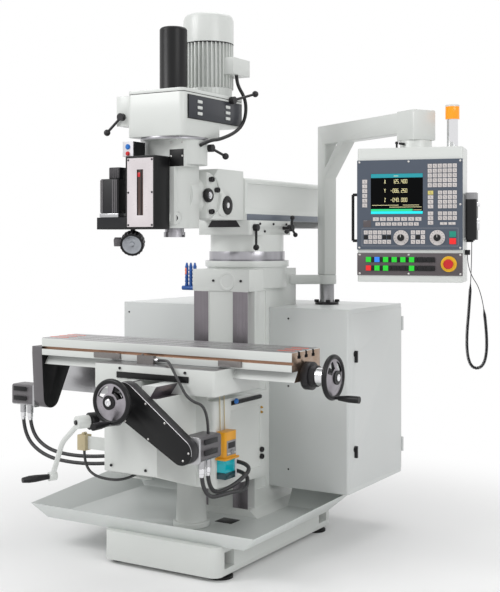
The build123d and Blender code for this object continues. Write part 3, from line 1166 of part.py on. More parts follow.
GRIP_START = CRANK_DISH + CRANK_EYE_LENGTH / 2 + SLIDE_GAP
with BuildPart(CRANK) as crank_grip:
    with Locations((-CRANK_OUT, -CRANK_DOWN, CRANK_DISH)):
        Cylinder(CRANK_PIN, CRANK_EYE_LENGTH + 2 * SLIDE_GAP)
    with Locations((-CRANK_OUT, -CRANK_DOWN, GRIP_START + GRIP_LENGTH / 4)):
        Cone(GRIP_WAIST, GRIP_RADIUS, GRIP_LENGTH / 2)
    with Locations((-CRANK_OUT, -CRANK_DOWN, GRIP_START + GRIP_LENGTH * 5 / 8)):
        Cylinder(GRIP_RADIUS, GRIP_LENGTH / 4)
    with Locations((-CRANK_OUT, -CRANK_DOWN, GRIP_START + GRIP_LENGTH * 7 / 8)):
        Cone(GRIP_RADIUS, GRIP_WAIST, GRIP_LENGTH / 4)
write(crank_grip, "crank_grip")

# Handwheels and their screws
WHEEL_CORE = WHEEL_RADIUS - WHEEL_RIM
Y_WHEEL = Y_COVER_FRONT + SLIDE_GAP + WHEEL_DIAL_LENGTH + WHEEL_HUB_LENGTH / 2
X_WHEEL = TABLE_RIGHT + BEARING_LENGTH + SLIDE_GAP + WHEEL_DIAL_LENGTH + WHEEL_HUB_LENGTH / 2
Y_WHEEL_FACE = Plane((0, -Y_WHEEL, Y_SCREW_Z), x_dir=(1, 0, 0), z_dir=(0, -1, 0))
X_WHEEL_FACE = Plane((X_WHEEL, -TABLE_MID, X_SCREW_Z), x_dir=(0, 1, 0), z_dir=(1, 0, 0))


def handwheel(face):
    with BuildPart(face) as wheel:
        Torus(WHEEL_CORE, WHEEL_RIM)
        Cylinder(WHEEL_HUB, WHEEL_HUB_LENGTH)
        with Locations((0, 0, -WHEEL_HUB_LENGTH / 2 - WHEEL_DIAL_LENGTH / 2)):
            Cylinder(WHEEL_DIAL, WHEEL_DIAL_LENGTH)
        with BuildSketch(Plane(face.origin, x_dir=face.x_dir, z_dir=-face.y_dir)):
            with BuildLine():
                Polyline((0, -WHEEL_WEB / 2), (WHEEL_CORE, -WHEEL_WEB / 2), (WHEEL_CORE, WHEEL_WEB / 2),
                         (0, WHEEL_DISH), close=True)
            make_face()
        revolve(axis=Axis(face.origin, face.z_dir))
        with BuildSketch(face.offset(-WHEEL_DISH)):
            for turn in (WHEEL_WINDOW_TURN, -WHEEL_WINDOW_TURN):
                start = 90 + turn - WHEEL_WINDOW_ARC / 2
                middle = (WHEEL_WINDOW_IN + WHEEL_CORE - WHEEL_RIM) / 2
                SlotArc(CenterArc((0, 0), middle, start, WHEEL_WINDOW_ARC),
                        WHEEL_CORE - WHEEL_RIM - WHEEL_WINDOW_IN)
        extrude(amount=3 * WHEEL_DISH, mode=Mode.SUBTRACT)
        with Locations((0, -WHEEL_CORE, WHEEL_GRIP_NECK / 2 + WHEEL_RIM / 2)):
            Cylinder(WHEEL_GRIP_STEM, WHEEL_GRIP_NECK + WHEEL_RIM)
        with Locations((0, -WHEEL_CORE, WHEEL_RIM + WHEEL_GRIP_NECK + WHEEL_GRIP_LENGTH / 4)):
            Cone(WHEEL_GRIP_STEM + WHEEL_WEB / 2, WHEEL_GRIP_RADIUS, WHEEL_GRIP_LENGTH / 2)
        with Locations((0, -WHEEL_CORE, WHEEL_RIM + WHEEL_GRIP_NECK + WHEEL_GRIP_LENGTH * 3 / 4)):
            Cylinder(WHEEL_GRIP_RADIUS, WHEEL_GRIP_LENGTH / 2)
        with Locations((0, 0, -WHEEL_DIAL_LENGTH / 2 - WHEEL_WEB)):
            Cylinder(SCREW_RADIUS + RUN_GAP, WHEEL_DIAL_LENGTH + WHEEL_HUB_LENGTH, mode=Mode.SUBTRACT)
    return wheel.part


with BuildPart() as y_handwheel:
    add(handwheel(Y_WHEEL_FACE))
write(y_handwheel, "y_handwheel")

with BuildPart() as x_handwheel:
    add(handwheel(X_WHEEL_FACE))
write(x_handwheel, "x_handwheel")

with BuildPart() as y_ballscrew:
    rod_y(0, (-Y_WHEEL, -KNEE_BACK - 2 * KNEE_WALL), Y_SCREW_Z, SCREW_RADIUS)
write(y_ballscrew, "y_ballscrew")

with BuildPart() as x_ballscrew:
    rod_x((-TABLE_LEFT - COVER_THICK / 2, X_WHEEL), -TABLE_MID, X_SCREW_Z, SCREW_RADIUS)
write(x_ballscrew, "x_ballscrew")

# Saddle: dovetailed below for the knee and above for the table
SADDLE_CEILING = KNEE_RAIL_TOP + SLIDE_GAP
SADDLE_FLOOR = TABLE_BOTTOM - TABLE_DOVETAIL - SLIDE_GAP
SADDLE_SLOT = KNEE_DOVETAIL_HALF + FLANK_GAP
TABLE_SLOT = TABLE_DOVETAIL_HALF + FLANK_GAP
with BuildPart() as saddle:
    span((-SADDLE_HALF, SADDLE_HALF), (-SADDLE_FRONT, -SADDLE_BACK), (SADDLE_BOTTOM, SADDLE_TOP))
    fillet(saddle.edges().filter_by(Axis.Z), SADDLE_CORNER)
    with BuildSketch(FRONT.offset(SADDLE_BACK - OVERRUN)):
        with BuildLine():
            Polyline((-SADDLE_SLOT + KNEE_LEAN, SADDLE_BOTTOM - OVERRUN),
                     (SADDLE_SLOT - KNEE_LEAN, SADDLE_BOTTOM - OVERRUN),
                     (SADDLE_SLOT - KNEE_LEAN, SADDLE_BOTTOM), (SADDLE_SLOT, SADDLE_CEILING),
                     (-SADDLE_SLOT, SADDLE_CEILING), (-SADDLE_SLOT + KNEE_LEAN, SADDLE_BOTTOM), close=True)
        make_face()
    extrude(amount=SADDLE_DEPTH + 2 * OVERRUN, mode=Mode.SUBTRACT)
    with BuildSketch(SIDE):
        with BuildLine():
            Polyline((-TABLE_MID - TABLE_SLOT, SADDLE_FLOOR), (-TABLE_MID + TABLE_SLOT, SADDLE_FLOOR),
                     (-TABLE_MID + TABLE_SLOT - TABLE_LEAN, SADDLE_TOP),
                     (-TABLE_MID + TABLE_SLOT - TABLE_LEAN, SADDLE_TOP + OVERRUN),
                     (-TABLE_MID - TABLE_SLOT + TABLE_LEAN, SADDLE_TOP + OVERRUN),
                     (-TABLE_MID - TABLE_SLOT + TABLE_LEAN, SADDLE_TOP), close=True)
        make_face()
    extrude(amount=SADDLE_HALF + OVERRUN, both=True, mode=Mode.SUBTRACT)
    span((-NUT_LENGTH / 2, NUT_LENGTH / 2), (-TABLE_MID - X_NUT_HALF, -TABLE_MID + X_NUT_HALF),
         (SADDLE_FLOOR, X_SCREW_Z + SCREW_RADIUS + X_NUT_CAP))
    rod_x((-NUT_LENGTH, NUT_LENGTH), -TABLE_MID, X_SCREW_Z, SCREW_RADIUS + NUT_PLAY, Mode.SUBTRACT)
    nut_y = (SADDLE_FRONT + SADDLE_BACK) / 2
    span((-NUT_HALF, NUT_HALF), (-nut_y - NUT_LENGTH / 2, -nut_y + NUT_LENGTH / 2),
         (Y_SCREW_Z - Y_NUT_DROP, SADDLE_CEILING))
    rod_y(0, (-nut_y - NUT_LENGTH, -nut_y + NUT_LENGTH), Y_SCREW_Z, SCREW_RADIUS + NUT_PLAY, Mode.SUBTRACT)
write(saddle, "saddle")

with BuildPart() as saddle_guards:
    span((-WIPER_HALF, WIPER_HALF), (-SADDLE_FRONT - WIPER_THICK, -SADDLE_FRONT),
         (SADDLE_BOTTOM + WIPER_LOW, SADDLE_BOTTOM + WIPER_LOW + WIPER_HEIGHT))
    span((-SADDLE_HALF - CARRIER_LENGTH, -SADDLE_HALF), (-CARRIER_BACK - CARRIER_DEPTH, -CARRIER_BACK),
         (CARRIER_LOW, CARRIER_LOW + CARRIER_HEIGHT))
    span((-SADDLE_HALF - CARRIER_ARM, -SADDLE_HALF + CARRIER_ARM), (-SADDLE_BACK, -CARRIER_BACK),
         (SADDLE_BOTTOM + WIPER_THICK, CARRIER_LOW + CARRIER_HEIGHT))
write(saddle_guards, "saddle_guards")

with BuildPart() as table_limit_switch:
    span((-SWITCH_LEFT, -SWITCH_LEFT + SWITCH_LENGTH),
         (-TABLE_FRONT - SWITCH_GAP - SWITCH_DEPTH, -TABLE_FRONT - SWITCH_GAP),
         (SADDLE_TOP, SADDLE_TOP + SWITCH_HEIGHT))
    rod_z(-SWITCH_LEFT + SWITCH_LENGTH / 4, -TABLE_FRONT - SWITCH_GAP - SWITCH_DEPTH / 2,
          (SADDLE_TOP + SWITCH_HEIGHT, SADDLE_TOP + SWITCH_HEIGHT + PLUNGER_LENGTH), PLUNGER_RADIUS)
write(table_limit_switch, "table_limit_switch")

SWITCH_MIDDLE = -TABLE_FRONT - SWITCH_GAP - SWITCH_DEPTH / 2
SWITCH_ROUTE = ((-SWITCH_LEFT + SWITCH_LENGTH, SWITCH_MIDDLE, SADDLE_TOP + SWITCH_HEIGHT / 2),
                (0, SWITCH_MIDDLE, SADDLE_TOP + SWITCH_HEIGHT / 2), (95, -592, 940),
                (165, -618, 860), (215, -618, 785), (310, -612, 765), (310, -612, Y_MOTOR_Z + SERVO_SIDE / 2))
with BuildPart() as switch_conduit:
    add(cord(SWITCH_ROUTE, SWITCH_CORD))
write(switch_conduit, "switch_conduit")

# Table with its T-slots, trip dogs and dovetail
with BuildPart() as table:
    span((-TABLE_LEFT, TABLE_RIGHT), (-TABLE_FRONT, -TABLE_BACK), (TABLE_BOTTOM, TABLE_TOP))
    chamfer(table.faces().sort_by(Axis.Z)[-1].edges(), TABLE_EDGE)
    with BuildSketch(SIDE.offset(-TABLE_LEFT)):
        with BuildLine():
            Polyline((-TABLE_MID - TABLE_DOVETAIL_HALF, TABLE_BOTTOM - TABLE_DOVETAIL),
                     (-TABLE_MID + TABLE_DOVETAIL_HALF, TABLE_BOTTOM - TABLE_DOVETAIL),
                     (-TABLE_MID + TABLE_DOVETAIL_HALF - TABLE_LEAN, TABLE_BOTTOM),
                     (-TABLE_MID - TABLE_DOVETAIL_HALF + TABLE_LEAN, TABLE_BOTTOM), close=True)
        make_face()
    extrude(amount=TABLE_LENGTH)
    span((-TABLE_LEFT - OVERRUN, TABLE_RIGHT + OVERRUN),
         (-TABLE_MID - TABLE_TROUGH_HALF, -TABLE_MID + TABLE_TROUGH_HALF),
         (TABLE_BOTTOM - TABLE_DOVETAIL - OVERRUN, TABLE_BOTTOM - TABLE_DOVETAIL + TABLE_TROUGH_DEPTH),
         Mode.SUBTRACT)
    for number in range(SLOT_COUNT):
        along = -TABLE_MID + (number - (SLOT_COUNT - 1) / 2) * SLOT_PITCH
        span((-TABLE_LEFT - OVERRUN, TABLE_RIGHT + OVERRUN), (along - SLOT_WIDTH / 2, along + SLOT_WIDTH / 2),
             (TABLE_TOP - SLOT_NECK, TABLE_TOP + OVERRUN), Mode.SUBTRACT)
        span((-TABLE_LEFT - OVERRUN, TABLE_RIGHT + OVERRUN), (along - SLOT_FOOT / 2, along + SLOT_FOOT / 2),
             (TABLE_TOP - SLOT_NECK - SLOT_FOOT_HEIGHT, TABLE_TOP - SLOT_NECK), Mode.SUBTRACT)
    span((-TABLE_LEFT - OVERRUN, TABLE_RIGHT + OVERRUN),
         (-TABLE_FRONT - OVERRUN, -TABLE_FRONT + DOG_GROOVE_DEPTH),
         (TABLE_BOTTOM + DOG_GROOVE_Z, TABLE_BOTTOM + DOG_GROOVE_Z + DOG_GROOVE), Mode.SUBTRACT)
    for shares in (DOG_LEFT_SHARES, DOG_RIGHT_SHARES):
        span((TABLE_LENGTH * shares[0] - TABLE_LEFT, TABLE_LENGTH * shares[1] - TABLE_LEFT),
             (-TABLE_FRONT - DOG_PROUD, -TABLE_FRONT),
             (TABLE_BOTTOM + DOG_LOW, TABLE_BOTTOM + DOG_LOW + DOG_HEIGHT))
write(table, "table")

with BuildPart() as x_belt_cover:
    with BuildSketch(SIDE.offset(-TABLE_LEFT - COVER_THICK)):
        with BuildLine():
            Polyline((-TABLE_FRONT, TABLE_TOP - COVER_TOP_DROP), (-COVER_BACK, TABLE_TOP - COVER_TOP_DROP),
                     (-COVER_BACK, TABLE_BOTTOM), (-TABLE_FRONT, TABLE_BOTTOM), close=True)
        make_face()
        with Locations((-X_MOTOR_Y, X_MOTOR_Z)):
            Circle(X_COVER_ROUND)
        make_hull()
    extrude(amount=COVER_THICK)
    rod_x((-TABLE_LEFT - COVER_THICK / 2 - SLIDE_GAP, -TABLE_LEFT + OVERRUN), -TABLE_MID, X_SCREW_Z,
          SCREW_RADIUS + RUN_GAP, Mode.SUBTRACT)
write(x_belt_cover, "x_belt_cover")

X_SERVO_FACE = -TABLE_LEFT - COVER_THICK
with BuildPart() as x_servo:
    with BuildSketch(SIDE.offset(X_SERVO_FACE)):
        with Locations((-X_MOTOR_Y, X_MOTOR_Z)):
            RectangleRounded(SERVO_FLANGE, SERVO_FLANGE, SERVO_CORNER)
    extrude(amount=-SERVO_FLANGE_THICK)
    with BuildSketch(SIDE.offset(X_SERVO_FACE - SERVO_FLANGE_THICK)):
        with Locations((-X_MOTOR_Y, X_MOTOR_Z)):
            RectangleRounded(SERVO_SIDE, SERVO_SIDE, SERVO_CORNER)
    extrude(amount=SERVO_FLANGE_THICK - X_SERVO_LENGTH)
    for number in range(2):
        rod_z(X_SERVO_FACE - X_SERVO_LENGTH + PLUG_INSET + number * PLUG_PITCH, -X_MOTOR_Y,
              (X_MOTOR_Z - SERVO_SIDE / 2 - PLUG_DROP, X_MOTOR_Z), PLUG_RADIUS)
write(x_servo, "x_servo")

with BuildPart() as x_bearing:
    rod_x((TABLE_RIGHT, TABLE_RIGHT + BEARING_PLATE), -TABLE_MID, X_SCREW_Z, BEARING_RADIUS)
    rod_x((TABLE_RIGHT, TABLE_RIGHT + BEARING_LENGTH), -TABLE_MID, X_SCREW_Z, BEARING_STEP)
    rod_x((TABLE_RIGHT - OVERRUN, TABLE_RIGHT + BEARING_LENGTH + OVERRUN), -TABLE_MID, X_SCREW_Z,
          SCREW_RADIUS + RUN_GAP, Mode.SUBTRACT)
write(x_bearing, "x_bearing")

X_PLUG_END = X_MOTOR_Z - SERVO_SIDE / 2 - PLUG_DROP
X_PLUG_LEFT = X_SERVO_FACE - X_SERVO_LENGTH + PLUG_INSET
X_CORD_ONE = ((X_PLUG_LEFT, -X_MOTOR_Y, X_PLUG_END), (X_PLUG_LEFT, -X_MOTOR_Y, 500), (-800, -385, 405),
              (-600, -365, 385), (-400, -310, 400), (-310, -285, 440), (-KNEE_HALF + PANEL_DEPTH, -285, 440))
X_CORD_TWO = ((X_PLUG_LEFT + PLUG_PITCH, -X_MOTOR_Y, X_PLUG_END), (X_PLUG_LEFT + PLUG_PITCH, -X_MOTOR_Y, 525),
              (-780, -385, 440), (-600, -367, 420), (-400, -310, 435), (-310, -285, 475),
              (-KNEE_HALF + PANEL_DEPTH, -285, 475))
with BuildPart() as x_motor_conduits:
    add(cord(X_CORD_ONE, CONDUIT))
    add(cord(X_CORD_TWO, CONDUIT))
write(x_motor_conduits, "x_motor_conduits")

# Turret and ram
CLAMP_Z = RAIL_TOP - RAIL_BLOCK / 2
PINION_Z = RAIL_TOP - PINION_DROP
RAM_SLOT = RAM_DOVETAIL_HALF + FLANK_GAP
RAM_FLOOR = RAM_BOTTOM - RAM_DOVETAIL
with BuildPart() as turret:
    rod_z(0, TURRET_Y, (TURRET_BOTTOM, TURRET_BOTTOM + DRUM_RING), DRUM_RADIUS)
    rod_z(0, TURRET_Y, (TURRET_BOTTOM + DRUM_RING, DRUM_TOP), DRUM_RADIUS - DRUM_WAIST)
    span((-RAIL_HALF, RAIL_HALF), (RAIL_FRONT, RAIL_BACK), (DRUM_TOP, RAIL_TOP))
    fillet(turret.edges().filter_by(Axis.Z).filter_by(GeomType.LINE)
           .filter_by_position(Axis.Z, DRUM_TOP, RAIL_TOP), RAM_EDGE)
    with BuildSketch(FRONT.offset(-RAIL_BACK - OVERRUN)):
        with BuildLine():
            Polyline((-RAM_SLOT, RAM_FLOOR - SLIDE_GAP), (RAM_SLOT, RAM_FLOOR - SLIDE_GAP),
                     (RAM_SLOT - RAM_LEAN, RAIL_TOP), (RAM_SLOT - RAM_LEAN, RAIL_TOP + OVERRUN),
                     (-RAM_SLOT + RAM_LEAN, RAIL_TOP + OVERRUN), (-RAM_SLOT + RAM_LEAN, RAIL_TOP), close=True)
        make_face()
    extrude(amount=RAIL_BACK + 2 * OVERRUN - RAIL_FRONT, mode=Mode.SUBTRACT)
    rod_x((RAIL_HALF, RAIL_HALF + LEVER_HUB_LENGTH), CLAMP_Y, CLAMP_Z, LEVER_HUB)
    lever((RAIL_HALF + LEVER_HUB_LENGTH / 2, CLAMP_Y, CLAMP_Z),
          (RAIL_HALF + LEVER_HUB_LENGTH / 2, CLAMP_Y, CLAMP_Z - CLAMP_LENGTH), LEVER_ROD, LEVER_BALL)
    rod_x((RAIL_HALF - LEVER_HUB_LENGTH, RAIL_HALF + OVERRUN), PINION_Y, PINION_Z,
          LEVER_HUB / 2 + RUN_GAP, Mode.SUBTRACT)
write(turret, "turret")

SPOKE_X = RAIL_HALF + PINION_HUB_LENGTH - LEVER_HUB / 2
with BuildPart() as ram_pinion_lever:
    rod_x((RAIL_HALF - LEVER_HUB_LENGTH + SLIDE_GAP, RAIL_HALF + PINION_HUB_LENGTH), PINION_Y, PINION_Z,
          LEVER_HUB / 2)
    rod_x((SPOKE_X - LEVER_HUB, RAIL_HALF + PINION_HUB_LENGTH), PINION_Y, PINION_Z, LEVER_HUB)
    for number in range(PINION_SPOKES):
        angle = radians(PINION_FIRST + number * 360 / PINION_SPOKES)
        lever((SPOKE_X, PINION_Y, PINION_Z),
              (SPOKE_X, PINION_Y + PINION_LENGTH * cos(angle), PINION_Z + PINION_LENGTH * sin(angle)),
              LEVER_ROD, LEVER_BALL - LEVER_ROD / 2)
write(ram_pinion_lever, "ram_pinion_lever")

with BuildPart() as ram:
    with BuildSketch(FRONT.offset(-RAM_BACK)):
        with Locations((0, (RAM_BOTTOM + RAM_TOP) / 2)):
            RectangleRounded(2 * RAM_HALF, RAM_HEIGHT, RAM_EDGE)
        with Locations((0, RAM_BOTTOM + RAM_FLANGE / 2)):
            Rectangle(2 * RAM_FLANGE_HALF, RAM_FLANGE)
        with BuildLine():
            Polyline((-RAM_DOVETAIL_HALF, RAM_FLOOR), (RAM_DOVETAIL_HALF, RAM_FLOOR),
                     (RAM_DOVETAIL_HALF - RAM_LEAN, RAM_BOTTOM), (-RAM_DOVETAIL_HALF + RAM_LEAN, RAM_BOTTOM),
                     close=True)
        make_face()
    extrude(amount=RAM_BACK)
    for side in (1, -1):
        inner = side * (RAM_HALF - RAM_SIDE_RECESS)
        outer = side * (RAM_HALF + OVERRUN)
        span((min(inner, outer), max(inner, outer)), (RAM_RECESS_START, RAM_BACK - RAM_RECESS_START),
             (RAM_BOTTOM + RAM_RECESS_LOW, RAM_TOP - RAM_RECESS_HIGH), Mode.SUBTRACT)
    with BuildSketch(SIDE):
        with BuildLine():
            Polyline((-BLOCK_FRONT, RAM_BOTTOM), (0, RAM_BOTTOM), (0, BLOCK_TOP),
                     (-BLOCK_FRONT + BLOCK_CHAMFER, BLOCK_TOP), (-BLOCK_FRONT, BLOCK_TOP - BLOCK_CHAMFER),
                     close=True)
        make_face()
    extrude(amount=BLOCK_HALF, both=True)
    rod_x((BLOCK_HALF, BLOCK_HALF + BLOCK_PLATE_PROUD), -BLOCK_PLATE_Y, BLOCK_PLATE_Z, BLOCK_PLATE)
    rod_x((-BLOCK_HALF - 2 * BLOCK_PLATE_PROUD, BLOCK_HALF + 2 * BLOCK_PLATE_PROUD), -NOD_Y, NOD_Z,
          KNUCKLE_RADIUS + KNUCKLE_FIT, Mode.SUBTRACT)
write(ram, "ram")

with BuildPart() as ram_adapter:
    rod_x((-KNUCKLE_HALF, KNUCKLE_HALF), -NOD_Y, NOD_Z, KNUCKLE_RADIUS)
    span((-KNUCKLE_HALF - OVERRUN, KNUCKLE_HALF + OVERRUN), (-NOD_Y - KNUCKLE_RADIUS - OVERRUN, -NOD_Y),
         (NOD_Z - KNUCKLE_RADIUS - OVERRUN, NOD_Z + KNUCKLE_RADIUS + OVERRUN), Mode.SUBTRACT)
    rod_y(0, (-KNUCKLE_FACE, -NOD_Y), NOD_Z, KNUCKLE_DISC)
    for angle in KNUCKLE_BOLT_ANGLES:
        rod_x((KNUCKLE_HALF, KNUCKLE_HALF + KNUCKLE_BOLT_PROUD),
              -NOD_Y + KNUCKLE_BOLT_CIRCLE * cos(radians(angle)),
              NOD_Z + KNUCKLE_BOLT_CIRCLE * sin(radians(angle)),
              KNUCKLE_BOLT)
    rod_x((KNUCKLE_HALF - KNUCKLE_HUB, KNUCKLE_HALF + KNUCKLE_HUB_PROUD), -NOD_Y, NOD_Z, KNUCKLE_HUB)
write(ram_adapter, "ram_adapter")

# Head
HEAD_UPPER_MID = (HEAD_UPPER_FRONT + HEAD_UPPER_BACK) / 2
QUILL_BOTTOM = HEAD_BOTTOM - QUILL_LIP
QUILL_TOP = QUILL_BOTTOM + QUILL_LENGTH
with BuildPart() as head_casting:
    rod_z(0, -SPINDLE_Y, (HEAD_BOTTOM, HEAD_STEP), HEAD_RADIUS)
    span((-HEAD_RADIUS, HEAD_RADIUS), (-SPINDLE_Y, -HEAD_FACE), (HEAD_BOTTOM, HEAD_STEP))
    rod_y(0, (-SPINDLE_Y, -HEAD_FACE), NOD_Z, KNUCKLE_DISC)
    span((-HEAD_RADIUS, HEAD_RADIUS), (-HEAD_FACE, -SPINDLE_Y + HEAD_RADIUS + OVERRUN),
         (HEAD_BOTTOM - OVERRUN, HEAD_STEP + OVERRUN), Mode.SUBTRACT)
    span((-HEAD_PAD_HALF, HEAD_PAD_HALF), (-ZBOX_BACK + SLIDE_GAP, -SPINDLE_Y),
         (HEAD_BOTTOM + QUILL_LIP, HEAD_STEP))
    with BuildSketch(Plane.XY.offset(HEAD_STEP)):
        with Locations((0, -HEAD_UPPER_MID)):
            RectangleRounded(2 * HEAD_UPPER_HALF, HEAD_UPPER_FRONT - HEAD_UPPER_BACK, HEAD_UPPER_CORNER)
    extrude(amount=HEAD_TOP - HEAD_STEP)
    rod_z(0, -SPINDLE_Y, (HEAD_TOP, HEAD_TOP + HEAD_RING_HEIGHT), HEAD_RING)
    span((HEAD_PLATE_X - HEAD_PLATE / 2, HEAD_PLATE_X + HEAD_PLATE / 2),
         (-HEAD_UPPER_FRONT - HEAD_PLATE_PROUD, -HEAD_UPPER_MID),
         (HEAD_PLATE_Z - HEAD_PLATE / 2, HEAD_PLATE_Z + HEAD_PLATE / 2))
    rod_x((HEAD_UPPER_HALF - HEAD_UPPER_CORNER, HEAD_UPPER_HALF), -BRAKE_Y, BRAKE_Z, LEVER_HUB)
    rod_z(0, -SPINDLE_Y, (HEAD_BOTTOM - OVERRUN, QUILL_TOP + OVERRUN), QUILL_RADIUS + RUN_GAP, Mode.SUBTRACT)
write(head_casting, "head_casting")

with BuildPart() as quill:
    rod_z(0, -SPINDLE_Y, (QUILL_BOTTOM, QUILL_TOP), QUILL_RADIUS)
    rod_z(0, -SPINDLE_Y, (QUILL_BOTTOM - OVERRUN, QUILL_TOP + OVERRUN), SPINDLE_SHAFT + RUN_GAP,
          Mode.SUBTRACT)
write(quill, "quill")

NOSE_TOP = QUILL_BOTTOM - SLIDE_GAP
NOSE_BOTTOM = NOSE_TOP - SPINDLE_NOSE_HEIGHT
with BuildPart() as spindle:
    rod_z(0, -SPINDLE_Y, (NOSE_BOTTOM, NOSE_TOP), SPINDLE_NOSE)
    rod_z(0, -SPINDLE_Y, (NOSE_TOP, NOSE_TOP + SPINDLE_SHAFT_LENGTH), SPINDLE_SHAFT)
    rod_z(0, -SPINDLE_Y, (NOSE_BOTTOM - OVERRUN, NOSE_BOTTOM + SPINDLE_BORE_DEPTH), SPINDLE_BORE,
          Mode.SUBTRACT)
    span((-SPINDLE_NOSE - OVERRUN, SPINDLE_NOSE + OVERRUN),
         (-SPINDLE_Y - SPINDLE_KEY_WIDTH / 2, -SPINDLE_Y + SPINDLE_KEY_WIDTH / 2),
         (NOSE_BOTTOM - OVERRUN, NOSE_BOTTOM + SPINDLE_KEY_DEPTH), Mode.SUBTRACT)
write(spindle, "spindle")

HOUSING_MID = (HOUSING_FRONT + HOUSING_BACK) / 2
HOUSING_DEPTH = HOUSING_FRONT - HOUSING_BACK
with BuildPart() as belt_housing:
    with BuildSketch(Plane.XY.offset(HOUSING_BOTTOM)):
        with Locations((0, -HOUSING_MID)):
            RectangleRounded(2 * HOUSING_HALF, HOUSING_DEPTH, HOUSING_CORNER)
    extrude(amount=HOUSING_HEIGHT - HOUSING_LID - HOUSING_LID_GROOVE)
    with BuildSketch(Plane.XY.offset(HOUSING_TOP - HOUSING_LID - HOUSING_LID_GROOVE)):
        with Locations((0, -HOUSING_MID)):
            RectangleRounded(2 * (HOUSING_HALF - HOUSING_LID_GROOVE), HOUSING_DEPTH - 2 * HOUSING_LID_GROOVE,
                             HOUSING_CORNER - HOUSING_LID_GROOVE)
    extrude(amount=HOUSING_LID_GROOVE)
    with BuildSketch(Plane.XY.offset(HOUSING_TOP - HOUSING_LID)):
        with Locations((0, -HOUSING_MID)):
            RectangleRounded(2 * HOUSING_HALF, HOUSING_DEPTH, HOUSING_CORNER)
    extrude(amount=HOUSING_LID)
    span((-HOUSING_HALF - OVERRUN, HOUSING_HALF + OVERRUN), (-HOUSING_STEP_Y, -HOUSING_BACK + OVERRUN),
         (HOUSING_BOTTOM - OVERRUN, HOUSING_BOTTOM + HOUSING_STEP), Mode.SUBTRACT)
    span((HOUSING_HALF - OVERRUN, HOUSING_HALF + LOUVRE_THICK), (-LOUVRE_FRONT, -LOUVRE_BACK),
         (HOUSING_BOTTOM + LOUVRE_LOW, HOUSING_BOTTOM + LOUVRE_LOW + LOUVRE_HEIGHT))
    louvre_length = LOUVRE_FRONT - LOUVRE_BACK
    louvre_pitch = louvre_length * (LOUVRE_END_SHARE - LOUVRE_START_SHARE) / LOUVRE_COUNT
    for number in range(LOUVRE_COUNT):
        along = -LOUVRE_FRONT + louvre_length * LOUVRE_START_SHARE + number * louvre_pitch
        span((HOUSING_HALF + LOUVRE_THICK - LOUVRE_SLOT_DEPTH, HOUSING_HALF + LOUVRE_THICK + OVERRUN),
             (along, along + LOUVRE_SLOT),
             (HOUSING_BOTTOM + LOUVRE_LOW + LOUVRE_SLOT,
              HOUSING_BOTTOM + LOUVRE_LOW + LOUVRE_HEIGHT - LOUVRE_SLOT),
             Mode.SUBTRACT)
    span((-SIDE_BOX_X, -HOUSING_HALF), (-SIDE_BOX_FRONT, -SIDE_BOX_FRONT + SIDE_BOX_DEPTH),
         (HOUSING_BOTTOM + SIDE_BOX_LOW, HOUSING_BOTTOM + SIDE_BOX_LOW + SIDE_BOX_HEIGHT))
write(belt_housing, "belt_housing")

FIN_BOTTOM = HOUSING_TOP + MOTOR_FLANGE_HEIGHT
FIN_TOP = FIN_BOTTOM + MOTOR_FIN_HEIGHT
with BuildPart() as spindle_motor:
    rod_z(0, -MOTOR_Y, (FIN_TOP, FIN_TOP + MOTOR_COVER_HEIGHT), MOTOR_COVER_RADIUS)
    fillet(spindle_motor.edges().sort_by(Axis.Z)[-1:], MOTOR_COVER_ROUND)
    rod_z(0, -MOTOR_Y, (HOUSING_TOP, FIN_BOTTOM), MOTOR_RADIUS)
    with BuildSketch(Plane.XY.offset(FIN_BOTTOM)):
        with Locations((0, -MOTOR_Y)):
            Circle(MOTOR_CORE)
            with PolarLocations((MOTOR_CORE + MOTOR_RADIUS) / 2, MOTOR_FINS):
                Rectangle(2 * (MOTOR_RADIUS - MOTOR_CORE), MOTOR_FIN_THICK)
    extrude(amount=MOTOR_FIN_HEIGHT)
    span((0, TERMINAL_X), (-TERMINAL_FRONT, -TERMINAL_BACK),
         (HOUSING_TOP + TERMINAL_LOW, HOUSING_TOP + TERMINAL_LOW + TERMINAL_HEIGHT))
write(spindle_motor, "spindle_motor")

with BuildPart() as drawbar_cover:
    rod_z(0, -DRAWBAR_Y, (HOUSING_TOP, HOUSING_TOP + DRAWBAR_HEIGHT), DRAWBAR_RADIUS)
    fillet(drawbar_cover.edges().sort_by(Axis.Z)[-1:], HOUSING_LID)
    rod_z(0, -DRAWBAR_Y, (HOUSING_TOP, HOUSING_TOP + DRAWBAR_FLANGE_HEIGHT), DRAWBAR_FLANGE)
write(drawbar_cover, "drawbar_cover")

